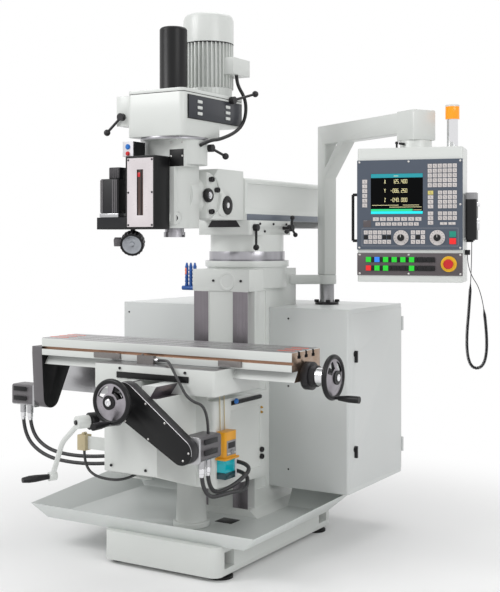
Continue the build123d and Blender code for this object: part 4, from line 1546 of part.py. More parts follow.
with BuildPart() as z_axis_box:
    span((-ZBOX_LEFT, ZBOX_RIGHT), (-ZBOX_FRONT + ZBOX_PLATE, -ZBOX_BACK), (ZBOX_LOW, ZBOX_LOW + ZBOX_HEIGHT))
    fillet(z_axis_box.edges().filter_by(Axis.Z).sort_by(Axis.Y)[-2:], ZBOX_CORNER)
    span((-ZBOX_LEFT, ZBOX_RIGHT), (-ZBOX_FRONT, -ZBOX_FRONT + ZBOX_PLATE),
         (ZBOX_LOW, ZBOX_LOW + ZBOX_HEIGHT))
    window_mid = (ZBOX_RIGHT - ZBOX_LEFT) / 2
    span((window_mid - ZBOX_WINDOW_WIDTH / 2, window_mid + ZBOX_WINDOW_WIDTH / 2),
         (-ZBOX_FRONT - OVERRUN, -ZBOX_FRONT + ZBOX_WINDOW_DEPTH),
         (ZBOX_LOW + ZBOX_WINDOW_LOW, ZBOX_LOW + ZBOX_WINDOW_LOW + ZBOX_WINDOW_HEIGHT), Mode.SUBTRACT)
    span((-ZBELT_LEFT, -ZBOX_LEFT), (-ZSERVO_Y - SERVO_SIDE / 2, -ZSERVO_Y + SERVO_SIDE / 2),
         (ZBOX_LOW, ZBOX_LOW + ZBELT_HEIGHT))
    with BuildSketch(Plane.XY.offset(ZBOX_LOW + ZBELT_HEIGHT)):
        with Locations((-ZSERVO_X, -ZSERVO_Y)):
            RectangleRounded(SERVO_SIDE, SERVO_SIDE, SERVO_CORNER)
    extrude(amount=ZSERVO_HEIGHT)
    span((-ZSWITCH_LEFT, -ZSWITCH_RIGHT), (-ZSERVO_Y - SERVO_BACK, -ZBOX_BACK - 2 * ZBOX_CORNER),
         (ZBOX_LOW + ZBOX_HEIGHT, ZBOX_LOW + ZBOX_HEIGHT + ZSWITCH_HEIGHT))
write(z_axis_box, "z_axis_box")

LAMP = Plane((-LAMP_X, -LAMP_Y, LAMP_Z), x_dir=(cos(radians(LAMP_TURN)), sin(radians(LAMP_TURN)), 0),
             z_dir=(sin(radians(LAMP_TURN)) * cos(radians(LAMP_TIP)),
                    -cos(radians(LAMP_TURN)) * cos(radians(LAMP_TIP)), -sin(radians(LAMP_TIP))))
with BuildPart() as work_lamp:
    rod_z(-LAMP_X, -LAMP_Y, (LAMP_Z, ZBOX_LOW - SLIDE_GAP), LAMP_STEM)
    with Locations(LAMP * Location((0, 0, LAMP_DEPTH / 2 - LAMP_LENS_DEPTH))):
        Cylinder(LAMP_RADIUS, LAMP_DEPTH)
    with Locations(LAMP * Location((0, 0, -LAMP_BACK_LENGTH / 2))):
        Cylinder(LAMP_BACK_RADIUS, LAMP_BACK_LENGTH)
    with Locations(LAMP * Location((0, 0, LAMP_DEPTH - LAMP_LENS_DEPTH))):
        Cylinder(LAMP_RADIUS - LAMP_LENS_LIP, 2 * LAMP_LENS_DEPTH, mode=Mode.SUBTRACT)
write(work_lamp, "work_lamp")


LEFT_PIVOT = (-LEFT_LEVER_X, -SIDE_BOX_FRONT - SLIDE_GAP - LEVER_HUB_LENGTH / 2, LEFT_LEVER_Z)
with BuildPart() as range_lever_left:
    rod_y(-LEFT_LEVER_X, (-SIDE_BOX_FRONT - SLIDE_GAP - LEVER_HUB_LENGTH, -SIDE_BOX_FRONT - SLIDE_GAP),
          LEFT_LEVER_Z, LEVER_HUB)
    lever(LEFT_PIVOT, (LEFT_PIVOT[0] - LEFT_LEVER_OUT, LEFT_PIVOT[1], LEFT_LEVER_Z - LEFT_LEVER_DOWN),
          LEVER_ROD, LEVER_BALL)
write(range_lever_left, "range_lever_left")

RIGHT_HUB = HOUSING_HALF + LOUVRE_THICK + SLIDE_GAP
with BuildPart() as range_lever_right:
    rod_x((RIGHT_HUB, RIGHT_HUB + LEVER_HUB_LENGTH), -RIGHT_LEVER_Y, RIGHT_LEVER_Z, LEVER_HUB)
    lever((RIGHT_HUB + LEVER_HUB_LENGTH / 2, -RIGHT_LEVER_Y, RIGHT_LEVER_Z),
          (RIGHT_HUB + LEVER_HUB_LENGTH + RIGHT_LEVER_OUT, -RIGHT_LEVER_Y + RIGHT_LEVER_BACK,
           RIGHT_LEVER_Z + RIGHT_LEVER_RISE), LEVER_ROD, LEVER_BALL)
write(range_lever_right, "range_lever_right")

BRAKE_HUB = HEAD_UPPER_HALF + SLIDE_GAP
with BuildPart() as brake_lever:
    rod_x((BRAKE_HUB, BRAKE_HUB + LEVER_HUB_LENGTH), -BRAKE_Y, BRAKE_Z, LEVER_HUB)
    lever((BRAKE_HUB + LEVER_HUB_LENGTH / 2, -BRAKE_Y, BRAKE_Z),
          (BRAKE_HUB + LEVER_HUB_LENGTH + BRAKE_OUT, -BRAKE_Y + BRAKE_BACK, BRAKE_Z - BRAKE_DROP),
          LEVER_ROD, LEVER_BALL)
write(brake_lever, "brake_lever")

MOTOR_ROUTE = ((140, -110, HOUSING_TOP + TERMINAL_LOW), (140, -110, 2190), (174, -82, 2120), (174, -84, 2030),
               (172, -150, 1965), (172, -300, 1915), (168, -385, 1905), (156, -437, 1880))
with BuildPart() as motor_cable:
    add(cord(MOTOR_ROUTE, MOTOR_CORD))
write(motor_cable, "motor_cable")
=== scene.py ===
import bpy
from math import atan2, cos, hypot, pi, radians, sin
from mathutils import Matrix, Vector


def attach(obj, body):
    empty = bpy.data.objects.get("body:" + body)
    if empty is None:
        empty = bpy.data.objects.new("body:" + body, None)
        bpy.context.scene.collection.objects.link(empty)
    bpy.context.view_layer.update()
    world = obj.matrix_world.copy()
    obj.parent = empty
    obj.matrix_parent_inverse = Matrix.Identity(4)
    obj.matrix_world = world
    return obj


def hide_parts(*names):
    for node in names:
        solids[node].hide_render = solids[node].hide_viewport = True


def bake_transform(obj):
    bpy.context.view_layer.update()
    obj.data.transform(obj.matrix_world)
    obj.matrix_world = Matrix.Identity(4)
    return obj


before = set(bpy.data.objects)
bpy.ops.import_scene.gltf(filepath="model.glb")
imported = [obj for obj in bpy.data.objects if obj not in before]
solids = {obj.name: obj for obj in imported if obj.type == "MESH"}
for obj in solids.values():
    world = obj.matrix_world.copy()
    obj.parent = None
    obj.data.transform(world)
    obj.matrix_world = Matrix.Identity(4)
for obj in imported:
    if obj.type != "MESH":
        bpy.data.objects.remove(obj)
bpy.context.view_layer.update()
scene = bpy.context.scene
scene.view_settings.view_transform = "Standard"

# Camera at the photograph's viewing angle
camera_data = bpy.data.cameras.new("photo_camera")
camera_data.lens = 65.8
camera_data.sensor_width = 36.0
camera_data.shift_y = -0.0946
camera = bpy.data.objects.new("photo_camera", camera_data)
camera.location = (2.793, -4.404, 1.463)
camera.rotation_euler = (radians(90), 0, radians(31))
scene.collection.objects.link(camera)
scene.camera = camera

# Directions, and the pendant's place: it hangs from the swivel, turned 14 degrees, and its pieces are
# modelled square and then turned with it
FRONT, RIGHT, UP, DOWN = (0, -1, 0), (1, 0, 0), (0, 0, 1), (0, 0, -1)
PENDANT = Matrix.Translation((0.937020, 0.126240, 0)) @ Matrix.Rotation(radians(14), 4, "Z")

# How close points are merged, how flat faces are joined, and which corners stay sharp, in metres and degrees
MERGE, SOLID_MERGE = 0.000004, 0.00002
FLAT = 0.5
CORNER, SOLID_CORNER = 35, 32
SMOOTH, SOLID_SMOOTH = 38, 34


def srgb(red, green, blue):
    """Linear colour of a colour as it is seen on a screen, 0 to 255."""
    shares = [c / 255 for c in (red, green, blue)]
    return tuple(s / 12.92 if s <= 10 / 255 else ((s + 0.055) / 1.055) ** 2.4 for s in shares) + (1.0,)


# Shared effects
def node(tree, kind, values=None, **choices):
    """A new node with its choices made and the values on its sockets set."""
    made = tree.nodes.new("ShaderNode" + kind)
    for choice, value in choices.items():
        setattr(made, choice, value)
    for socket, value in (values or {}).items():
        made.inputs[socket].default_value = value
    return made


def link(tree, *runs):
    """Links between nodes, each from a node's output to another node's input."""
    for source, output, goal, socket in runs:
        tree.links.new(source.outputs[output], goal.inputs[socket])


def tone(tree, shade):
    return node(tree, "Mix", {"B": shade}, data_type="RGBA", blend_type="MULTIPLY")


def effect(name, settings, outputs=("Colour", "Roughness", "Height")):
    """An empty shared effect with its settings and what it puts out."""
    kinds = {1: "NodeSocketFloat", 3: "NodeSocketVector", 4: "NodeSocketColor"}
    tree = bpy.data.node_groups.new(name, "ShaderNodeTree")
    for label, value in settings.items():
        kind = kinds[len(value) if isinstance(value, tuple) else 1]
        tree.interface.new_socket(label, in_out="INPUT", socket_type=kind).default_value = value
    for label in outputs:
        tree.interface.new_socket(label, in_out="OUTPUT", socket_type=kinds[4 if label == "Colour" else 1])
    return tree, tree.nodes.new("NodeGroupInput"), tree.nodes.new("NodeGroupOutput")


def paint_skin():
    """Sprayed enamel on a casting: broad shifts of tone, a little dust, and orange peel."""
    tree, start, end = effect("paint_skin", {"Colour": (0.6, 0.6, 0.6, 1), "Dust": 0.06, "Peel": 420.0})
    where = node(tree, "TexCoord")
    broad = node(tree, "TexNoise", {"Scale": 4.0, "Detail": 5.0})
    fine = node(tree, "TexNoise", {"Detail": 2.0})
    weight = node(tree, "Math", operation="MULTIPLY")
    mix = tone(tree, (0.55, 0.53, 0.50, 1))
    gloss = node(tree, "MapRange", {"To Min": 0.30, "To Max": 0.44})
    link(tree, (where, "Object", broad, "Vector"), (where, "Object", fine, "Vector"),
         (start, "Peel", fine, "Scale"), (broad, "Fac", weight, 0), (start, "Dust", weight, 1),
         (weight, 0, mix, "Factor"), (start, "Colour", mix, "A"), (broad, "Fac", gloss, "Value"),
         (mix, "Result", end, "Colour"), (gloss, "Result", end, "Roughness"), (fine, "Fac", end, "Height"))
    return tree


def grinding():
    """Ground or brushed metal: fine streaks along one direction, and broad shifts of tone."""
    tree, start, end = effect("grinding", {"Colour": (0.5, 0.5, 0.5, 1), "Stretch": (20, 900, 900),
                              "Depth": 0.35})
    where = node(tree, "TexCoord")
    lay = node(tree, "VectorMath", operation="MULTIPLY")
    streak = node(tree, "TexNoise", {"Scale": 1.0, "Detail": 3.0})
    broad = node(tree, "TexNoise", {"Scale": 9.0})
    both = node(tree, "Math", operation="MULTIPLY")
    weight = node(tree, "Math", operation="MULTIPLY")
    mix = tone(tree, (0.30, 0.29, 0.29, 1))
    gloss = node(tree, "MapRange", {"To Min": 0.20, "To Max": 0.42})
    link(tree, (where, "Object", lay, 0), (start, "Stretch", lay, 1), (lay, "Vector", streak, "Vector"),
         (where, "Object", broad, "Vector"), (streak, "Fac", both, 0), (broad, "Fac", both, 1),
         (both, 0, weight, 0), (start, "Depth", weight, 1), (weight, 0, mix, "Factor"),
         (start, "Colour", mix, "A"), (streak, "Fac", gloss, "Value"), (mix, "Result", end, "Colour"),
         (gloss, "Result", end, "Roughness"), (streak, "Fac", end, "Height"))
    return tree


def moulding():
    """Moulded plastic or rubber: a fine grain and slightly uneven gloss."""
    tree, start, end = effect("moulding", {"Colour": (0.1, 0.1, 0.1, 1), "Grain": 700.0, "Gloss": 0.4})
    where = node(tree, "TexCoord")
    grain = node(tree, "TexNoise", {"Detail": 2.0})
    broad = node(tree, "TexNoise", {"Scale": 14.0})
    mix = tone(tree, (0.72, 0.72, 0.72, 1))
    shift = node(tree, "Math", {1: 0.16}, operation="MULTIPLY_ADD")
    low = node(tree, "Math", {1: 0.08}, operation="SUBTRACT")
    link(tree, (where, "Object", grain, "Vector"), (where, "Object", broad, "Vector"),
         (start, "Grain", grain, "Scale"), (broad, "Fac", mix, "Factor"), (start, "Colour", mix, "A"),
         (start, "Gloss", low, 0), (broad, "Fac", shift, 0), (low, 0, shift, 2),
         (mix, "Result", end, "Colour"), (shift, 0, end, "Roughness"), (grain, "Fac", end, "Height"))
    return tree


def hose_ribs():
    """Corrugated conduit: ribs counted along the piece's own UV map, with painted shade that darkens the
    grooves between them.
    """
    tree, start, end = effect("hose_ribs", {"Colour": (0.05, 0.05, 0.05, 1), "Ribs": 120.0},
                              ("Colour", "Height"))
    where = node(tree, "UVMap")
    split = node(tree, "SeparateXYZ")
    count = node(tree, "Math", operation="MULTIPLY")
    wave = node(tree, "Math", {1: 0.5}, operation="PINGPONG")
    # Painted shade: the colour is darkest at the bottom of each groove
    shade = node(tree, "MapRange", {"From Max": 0.5, "To Min": 0.75, "To Max": 0.0})
    mix = tone(tree, (0.25, 0.25, 0.25, 1))
    link(tree, (where, "UV", split, 0), (split, "X", count, 0), (start, "Ribs", count, 1),
         (count, 0, wave, 0), (wave, 0, shade, "Value"), (shade, "Result", mix, "Factor"),
         (start, "Colour", mix, "A"), (mix, "Result", end, "Colour"), (wave, 0, end, "Height"))
    return tree


PAINT_SKIN = paint_skin()
GRINDING = grinding()
MOULDING = moulding()
HOSE_RIBS = hose_ribs()


def shaded(name, values):
    """A new finish, with the values set on its shader."""
    made = bpy.data.materials.new(name)
    made.use_nodes = True
    for socket, value in values.items():
        made.node_tree.nodes["Principled BSDF"].inputs[socket].default_value = value
    return made


def finish_of(name, effect_tree, settings, bump, metallic=0.0, roughness=None, coat=0.0, shine=0.5):
    """A finish from one shared effect, whose colour, gloss and height feed the shader."""
    made = shaded(name, {"Metallic": metallic, "Coat Weight": coat, "Specular IOR Level": shine,
                         "Coat Roughness": 0.12})
    tree = made.node_tree
    shader = tree.nodes["Principled BSDF"]
    skin = tree.nodes.new("ShaderNodeGroup")
    skin.node_tree = effect_tree
    for label, value in settings.items():
        skin.inputs[label].default_value = value
    relief = node(tree, "Bump", {"Strength": bump[0], "Distance": bump[1]})
    link(tree, (skin, "Colour", shader, "Base Color"), (skin, "Height", relief, "Height"),
         (relief, "Normal", shader, "Normal"))
    if roughness is None:
        link(tree, (skin, "Roughness", shader, "Roughness"))
    else:
        shader.inputs["Roughness"].default_value = roughness
    return made


def painted(name, colour, dust=0.06, peel=420.0, bump=0.05, coat=0.15, shine=0.5):
    settings = {"Colour": srgb(*colour), "Dust": dust, "Peel": peel}
    return finish_of(name, PAINT_SKIN, settings, (bump, 0.0004), coat=coat, shine=shine)


def ground(name, colour, stretch, depth=0.35, metallic=1.0):
    settings = {"Colour": srgb(*colour), "Stretch": stretch, "Depth": depth}
    return finish_of(name, GRINDING, settings, (0.06, 0.0003), metallic)


def moulded(name, colour, gloss, grain=700.0, shine=0.5):
    settings = {"Colour": srgb(*colour), "Gloss": gloss, "Grain": grain}
    return finish_of(name, MOULDING, settings, (0.08, 0.0003), shine=shine)


def lit(name, colour, strength, roughness=0.25):
    """A lamp cover or a shape on the screen: it gives a little light of its own."""
    return shaded(name, {"Base Color": srgb(*colour), "Roughness": roughness,
                  "Emission Color": srgb(*colour), "Emission Strength": strength})


def plain(name, colour, roughness, metallic=0.0, shine=0.5):
    return shaded(name, {"Base Color": srgb(*colour), "Roughness": roughness, "Metallic": metallic,
                         "Specular IOR Level": shine})


ENAMEL = painted("grey_white_enamel", (214, 217, 214))
CABINET_ENAMEL = painted("cabinet_enamel", (208, 211, 210), dust=0.04, peel=600.0, bump=0.03)
TRAY_ENAMEL = painted("tray_enamel", (216, 220, 218), dust=0.05)
PANEL_SLATE = painted("dark_side_panel", (52, 54, 60), dust=0.02, peel=900.0, bump=0.04, shine=0.3)
WAY_STEEL = ground("ground_ways", (134, 129, 134), (240, 240, 3), depth=0.8)
TABLE_STEEL = ground("ground_table", (168, 166, 168), (10, 420, 420), depth=0.45)
# Turned steel with painted reflections: its streaks are stretched into bands round turned faces that stand in
# for reflections
TURNED_STEEL_PAINTED_REFLECTIONS = ground("turned_steel_painted_reflection_bands", (178, 177, 182), (26, 26, 1), depth=0.9)
PART_STEEL = ground("machined_steel", (150, 150, 152), (300, 300, 300), depth=0.35)
TABLE_END = ground("end_milled_steel", (168, 146, 128), (60, 60, 700), depth=0.45)
COPPERY = ground("groove_steel", (150, 118, 98), (12, 500, 500), depth=0.4)
CHROME = plain("bright_chrome", (224, 224, 226), 0.10, 1.0)
BLACK_ENAMEL = painted("black_enamel", (24, 24, 25), dust=0.0, peel=700.0, bump=0.08, coat=0.03, shine=0.22)
DARK_STEEL = plain("blackened_steel", (46, 45, 47), 0.40, 0.3, shine=0.3)
SERVO_GREY = moulded("servo_grey", (104, 101, 104), 0.42, 900.0)
SERVO_BLACK = moulded("servo_black", (30, 30, 33), 0.40, 900.0, shine=0.25)
SERVO_SILVER = ground("cast_silver", (188, 188, 190), (300, 300, 300), depth=0.3)
FACE_SLATE = painted("slate_faceplate", (70, 79, 93), dust=0.03, peel=900.0, bump=0.04)
PANEL_BROWN = painted("brown_grey_panel", (82, 75, 78), dust=0.03, peel=900.0, bump=0.04)
PLATE_ALLOY = ground("brushed_plate", (216, 209, 211), (60, 60, 500), depth=0.3, metallic=0.35)
WEB_STEEL = ground("polished_web", (170, 166, 172), (34, 34, 34), depth=1.0)
# Slate for the ram's lower sides: partly a gib strip, partly painted shade of the gap between the ram and the
# turret
GIB_AND_GAP_SHADE = painted("slate_gib_and_gap_shade", (98, 106, 118), dust=0.1, peel=700.0)
LINE_GREY = plain("panel_line", (150, 152, 158), 0.5)
PALE_SCREW = plain("bright_screw", (196, 194, 192), 0.28, 0.8)
OIL_LINE = plain("oil_line", (196, 180, 140), 0.3)
BRASS = plain("brass_fitting", (186, 148, 74), 0.3, 0.8)
WHITE_PLASTIC = moulded("white_plastic", (228, 226, 230), 0.4)
KEY_PALE = moulded("pale_key_plastic", (218, 212, 210), 0.45)
KEY_MARK = plain("key_print", (120, 112, 114), 0.6)
KEY_YELLOW = moulded("yellow_key_plastic", (226, 212, 120), 0.45)
BLACK_PLASTIC = moulded("black_plastic", (26, 26, 28), 0.36, shine=0.28)
GREY_PLASTIC = moulded("grey_plastic", (150, 150, 152), 0.45)
RED_PLASTIC = moulded("red_mushroom", (214, 28, 34), 0.30)
YELLOW_PLASTIC = moulded("yellow_collar", (244, 190, 20), 0.35)
AMBER_LENS = lit("amber_lens", (246, 150, 10), 0.25, 0.12)
LENS_CAP = moulded("beacon_cap", (226, 224, 220), 0.35)
PUMP_YELLOW = moulded("pump_yellow", (240, 168, 24), 0.34)
TANK_TEAL = plain("teal_tank", (0, 186, 200), 0.14)
TANK_OIL = plain("tank_foot", (20, 66, 74), 0.2)
SWITCH_ALLOY = ground("cast_switch", (132, 128, 126), (260, 260, 260), depth=0.4, metallic=0.7)
SWITCH_BEIGE = moulded("beige_switch", (200, 186, 150), 0.42)
ORANGE_PLUG = moulded("orange_slot_plug", (232, 78, 34), 0.40)
NOZZLE_BLUE = moulded("nozzle_blue", (20, 88, 170), 0.35)
NOZZLE_ORANGE = moulded("nozzle_orange", (238, 110, 30), 0.35)
# Lamp dish with painted reflections: the strong mottled darkening stands in for what the mirror reflects
REFLECTOR_PAINTED_REFLECTIONS = ground("lamp_reflector_painted_reflections", (176, 180, 186), (46, 46, 46), depth=1.0)
POINTER_RED = plain("pointer_red", (206, 32, 36), 0.35)
WINDOW_DARK = plain("scale_window", (74, 52, 46), 0.22)
BLUE_CAP = moulded("blue_cap", (32, 120, 208), 0.32)
GREEN_KEY = lit("green_button", (22, 200, 40), 0.22)
BLUE_KEY = lit("blue_button", (44, 128, 235), 0.22)
RED_KEY = lit("red_button", (226, 30, 30), 0.2)
TEAL_KEY = moulded("start_key", (20, 150, 128), 0.35)
SCREEN_BLACK = plain("screen_glass", (4, 5, 6), 0.16, shine=0.06)
SCREEN_TEAL = lit("screen_teal", (18, 120, 130), 0.7)
SCREEN_GREEN = lit("screen_green", (30, 176, 112), 0.7)
SCREEN_CYAN = lit("screen_cyan", (20, 190, 196), 0.7)
SCREEN_CREAM = lit("screen_figures", (236, 228, 176), 0.8)
# Black conduit whose rib effect paints shade into the grooves
HOSE_BLACK = finish_of("corrugated_conduit", HOSE_RIBS, {"Colour": srgb(52, 52, 54), "Ribs": 150.0},
                       (0.6, 0.0014), roughness=0.38)
CORD_BLACK = moulded("cord_sheath", (26, 26, 30), 0.40, shine=0.35)
LEAD_BLACK = moulded("lead_sheath", (24, 24, 26), 0.40, shine=0.3)


# Handwork
def clear():
    bpy.ops.object.select_all(action="DESELECT")


def shut():
    """Back from edit mode."""
    bpy.ops.object.mode_set(mode="OBJECT")


def only(*pieces):
    if bpy.context.object and bpy.context.object.mode != "OBJECT":
        shut()
    clear()
    for piece in pieces:
        piece.select_set(True)
    bpy.context.view_layer.objects.active = pieces[0]


def edit(piece, kind="FACE"):
    only(piece)
    bpy.ops.object.mode_set(mode="EDIT")
    bpy.ops.mesh.select_mode(type=kind)
    bpy.ops.mesh.select_all(action="SELECT")


def closed(piece):
    """Merge the doubles, turn the faces outwards, and smooth all but the corners."""
    edit(piece)
    bpy.ops.mesh.remove_doubles(threshold=MERGE)
    bpy.ops.mesh.normals_make_consistent(inside=False)
    shut()
    bpy.ops.object.shade_smooth_by_angle(angle=radians(SMOOTH))
    return piece


def settle(piece, place=None):
    """The piece goes to its place, and its place goes into its mesh."""
    only(piece)
    if place is not None:
        piece.matrix_world = place @ piece.matrix_world
    bpy.ops.object.transform_apply(location=True, rotation=True, scale=True)
    return piece


def ease(piece, edge, segments=2, sharp=CORNER):
    edit(piece, "EDGE")
    bpy.ops.mesh.select_all(action="DESELECT")
    bpy.ops.mesh.edges_select_sharp(sharpness=radians(sharp))
    bpy.ops.mesh.bevel(offset=edge, segments=segments, profile=0.5, affect="EDGES", clamp_overlap=True)
    shut()
    return piece


def fresh(name):
    piece = bpy.context.object
    piece.name = name
    piece.data.name = name
    return piece


def slab(name, low, high, edge=0.001, segments=2):
    clear()
    middle = [(a + b) / 2 for a, b in zip(low, high)]
    bpy.ops.mesh.primitive_cube_add(size=1, location=middle)
    piece = fresh(name)
    bpy.ops.transform.resize(value=[b - a for a, b in zip(low, high)])
    settle(piece)
    if edge:
        ease(piece, edge, segments)
    return closed(piece)


def facing(place, along):
    """The place of a small piece modelled upright: its foot there, its top along the direction."""
    return Matrix.Translation(place) @ Vector(along).to_track_quat("Z", "Y").to_matrix().to_4x4()


def turned(name, profile, foot=(0, 0, 0), along=UP, sides=40):
    """A lathe piece: a disc drawn up through radii and heights along its axis."""
    clear()
    radius, height = profile[0]
    bpy.ops.mesh.primitive_circle_add(vertices=sides, radius=radius, fill_type="NGON",
                                      location=(0, 0, height))
    piece = fresh(name)
    settle(piece)
    edit(piece)
    for wide, high in profile[1:]:
        bpy.ops.mesh.extrude_region_move(TRANSFORM_OT_translate={"value": (0, 0, high - height)})
        bpy.ops.transform.resize(value=(wide / radius, wide / radius, 1), center_override=(0, 0, high))
        radius, height = wide, high
    shut()
    return closed(settle(piece, facing(foot, along)))


def rod(name, start, end, radius, edge=0.001, sides=24):
    reach = Vector(end) - Vector(start)
    tall = reach.length
    profile = ((radius - edge, 0), (radius, edge), (radius, tall - edge), (radius - edge, tall))
    return turned(name, profile, start, reach, sides)


def copied(piece, name, place):
    twin = piece.copy()
    twin.data = piece.data.copy()
    twin.name = name
    scene.collection.objects.link(twin)
    return settle(twin, place)


def joined(name, pieces):
    only(*pieces)
    bpy.ops.object.join()
    return fresh(name)


def wear(piece, first, *others):
    """The first finish all over, then each other one on the faces that its test picks by place and normal."""
    piece.data.materials.clear()
    piece.data.materials.append(first)
    for index, (finish, test) in enumerate(others, 1):
        piece.data.materials.append(finish)
        for face in piece.data.polygons:
            if test(face.center, face.normal):
                face.material_index = index
    if not others:
        for face in piece.data.polygons:
            face.material_index = 0
    return piece


def carried(piece, body, slot, *nodes):
    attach(piece, body)
    if nodes:
        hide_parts(*nodes)
    return piece


def cast(solid, name, edge, body, slot):
    """A merged copy of a solid with its corners eased, which stands for the solid."""
    piece = bpy.data.objects.new(name, solids[solid].data.copy())
    scene.collection.objects.link(piece)
    only(piece)
    piece.data.materials.clear()
    bpy.ops.mesh.customdata_custom_splitnormals_clear()
    edit(piece)
    bpy.ops.mesh.remove_doubles(threshold=SOLID_MERGE)
    bpy.ops.mesh.dissolve_limited(angle_limit=radians(FLAT))
    shut()
    if edge:
        ease(piece, edge, sharp=SOLID_CORNER)
    only(piece)
    bpy.ops.object.shade_smooth_by_angle(angle=radians(SOLID_SMOOTH))
    return carried(piece, body, slot, solid)


def scored(piece, *cuts):
    """Straight cuts through a piece's skin, each at a point and across a direction, where a finish ends."""
    for point, across in cuts:
        edit(piece)
        bpy.ops.mesh.bisect(plane_co=point, plane_no=across)
    shut()
    return piece


def spread(name, model, places, finish, body, slot):
    """Copies of one small piece at several places, kept as one piece."""
    made = [copied(model, name + str(number), place) for number, place in enumerate(places)]
    piece = joined(name, made)
    closed(piece)
    wear(piece, finish)
    return carried(piece, body, slot)


def put(piece, finish, body, slot, *others):
    wear(piece, finish, *others)
    return carried(piece, body, slot)


def sector(name, hub, out, inner, outer, start, sweep, deep=0.08, steps=14):
    """A thick slice of a ring, spun from a square face round a hub that points out."""
    clear()
    bpy.ops.mesh.primitive_plane_add(size=1)
    piece = fresh(name)
    bpy.ops.transform.resize(value=(outer - inner, deep, 1))
    settle(piece, Matrix.Translation(((inner + outer) / 2, 0, 0)) @ Matrix.Rotation(pi / 2, 4, "X"))
    edit(piece)
    bpy.ops.mesh.spin(steps=steps, angle=radians(sweep), center=(0, 0, 0), axis=UP)
    shut()
    up = Vector(UP)
    square = Matrix((up.cross(out), up, out)).transposed().to_4x4()
    settle(piece, Matrix.Translation(hub) @ square @ Matrix.Rotation(radians(start), 4, "Z"))
    return closed(piece)


def pierced(piece, cutter):
    """A hole in a piece, in the shape of the cutter, which then goes."""
    only(piece)
    hole = piece.modifiers.new("hole", "BOOLEAN")
    hole.operation = "DIFFERENCE"
    hole.solver = "EXACT"
    hole.object = cutter
    bpy.ops.object.modifier_apply(modifier=hole.name)
    bpy.data.objects.remove(cutter)
    return piece


def on_pendant(piece):
    return settle(piece, PENDANT)


def bar(name, start, end, width, front, back):
    """A thin flat stroke on the pendant's front, from one place to another."""
    clear()
    run, rise = end[0] - start[0], end[1] - start[1]
    length = hypot(run, rise)
    bpy.ops.mesh.primitive_cube_add(size=1)
    piece = fresh(name)
    bpy.ops.transform.resize(value=(length + width, back - front, width))
    settle(piece)
    lean = Matrix.Rotation(-atan2(rise, run), 4, "Y")
    middle = ((start[0] + end[0]) / 2, (front + back) / 2, (start[1] + end[1]) / 2)
    return settle(piece, Matrix.Translation(middle) @ lean)


def repaint(solid, finish):
    solids[solid].data.materials.clear()
    solids[solid].data.materials.append(finish)


# Cords
def strand(name, kind, points):
    """A curve with one open spline on the points."""
    curve = bpy.data.curves.new(name, "CURVE")
    curve.dimensions = "3D"
    spline = curve.splines.new(kind)
    spline.points.add(len(points) - 1)
    for knot, point in zip(spline.points, points):
        knot.co = (*point, 1.0)
    piece = bpy.data.objects.new(name, curve)
    scene.collection.objects.link(piece)
    return piece


def route(name, points):
    """A smooth route that starts and ends on its first and last points."""
    piece = strand(name, "NURBS", points)
    spline = piece.data.splines[0]
    spline.order_u = 3
    spline.use_endpoint_u = True
    spline.resolution_u = 10
    return piece


def thicken(piece, diameter, resolution=5):
    """A round, closed skin on a curve."""
    piece.data.bevel_depth = diameter / 2
    piece.data.bevel_resolution = resolution
    piece.data.use_fill_caps = True


def line_of(piece):
    """Points along a route's spline, and how long it is."""
    mesh = bpy.data.meshes.new_from_object(piece)
    points = [vertex.co.copy() for vertex in mesh.vertices]
    bpy.data.meshes.remove(mesh)
    return points, sum((b - a).length for a, b in zip(points, points[1:]))


def cable(name, points, diameter, finish, body, slot, stiffness, lay, *nodes):
    piece = route(name, points)
    length = line_of(piece)[1]
    print("cord", name, "length", round(length, 4))
    thicken(piece, diameter)
    piece.data.materials.append(finish)
    carried(piece, body, slot, *nodes)
    return piece


def moving_cable(name, points, diameter, finish, bodies, slot, stiffness, lay, *nodes):
    """A cable between two bodies: a tube on the route's own spline."""
    guide = route(name + "_line", points)
    path, length = line_of(guide)
    print("cord", name, "length", round(length, 4))
    thicken(guide, diameter)
    mesh = bpy.data.meshes.new_from_object(guide)
    mesh.name = name
    bpy.data.objects.remove(guide)
    piece = bpy.data.objects.new(name, mesh)
    scene.collection.objects.link(piece)
    piece.data.materials.clear()
    piece.data.materials.append(finish)
    only(piece)
    bpy.ops.object.shade_smooth()
    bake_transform(piece)
    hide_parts(*nodes)
    return piece


def curly_cable(name, points, wire, coil, pitch, shares, finish, body, slot, *nodes):
    """A curly cord: straight at both ends, a helix round the route's spline between two shares of it."""
    guide = route(name + "_line", points)
    path, length = line_of(guide)
    bpy.data.objects.remove(guide)
    steps_a_turn, ramp = 12, 0.03
    steps = int(length / pitch * steps_a_turn)
    line = []
    side = Vector(RIGHT)
    walked, leg = 0.0, 0
    for step in range(steps + 1):
        here = length * step / steps
        while leg < len(path) - 2 and walked + (path[leg + 1] - path[leg]).length < here:
            walked += (path[leg + 1] - path[leg]).length
            leg += 1
        along = (path[leg + 1] - path[leg]).normalized()
        side = (side - along * side.dot(along)).normalized()
        share = here / length
        rise = min(1, max(0, (share - shares[0]) / ramp)) * min(1, max(0, (shares[1] - share) / ramp))
        swing = 2 * pi * here / pitch
        arm = side * cos(swing) + along.cross(side) * sin(swing)
        line.append(path[leg] + along * (here - walked) + arm * coil * rise)
    piece = strand(name, "POLY", line)
    thicken(piece, wire, 2)
    piece.data.materials.append(finish)
    carried(piece, body, slot, *nodes)
    return piece


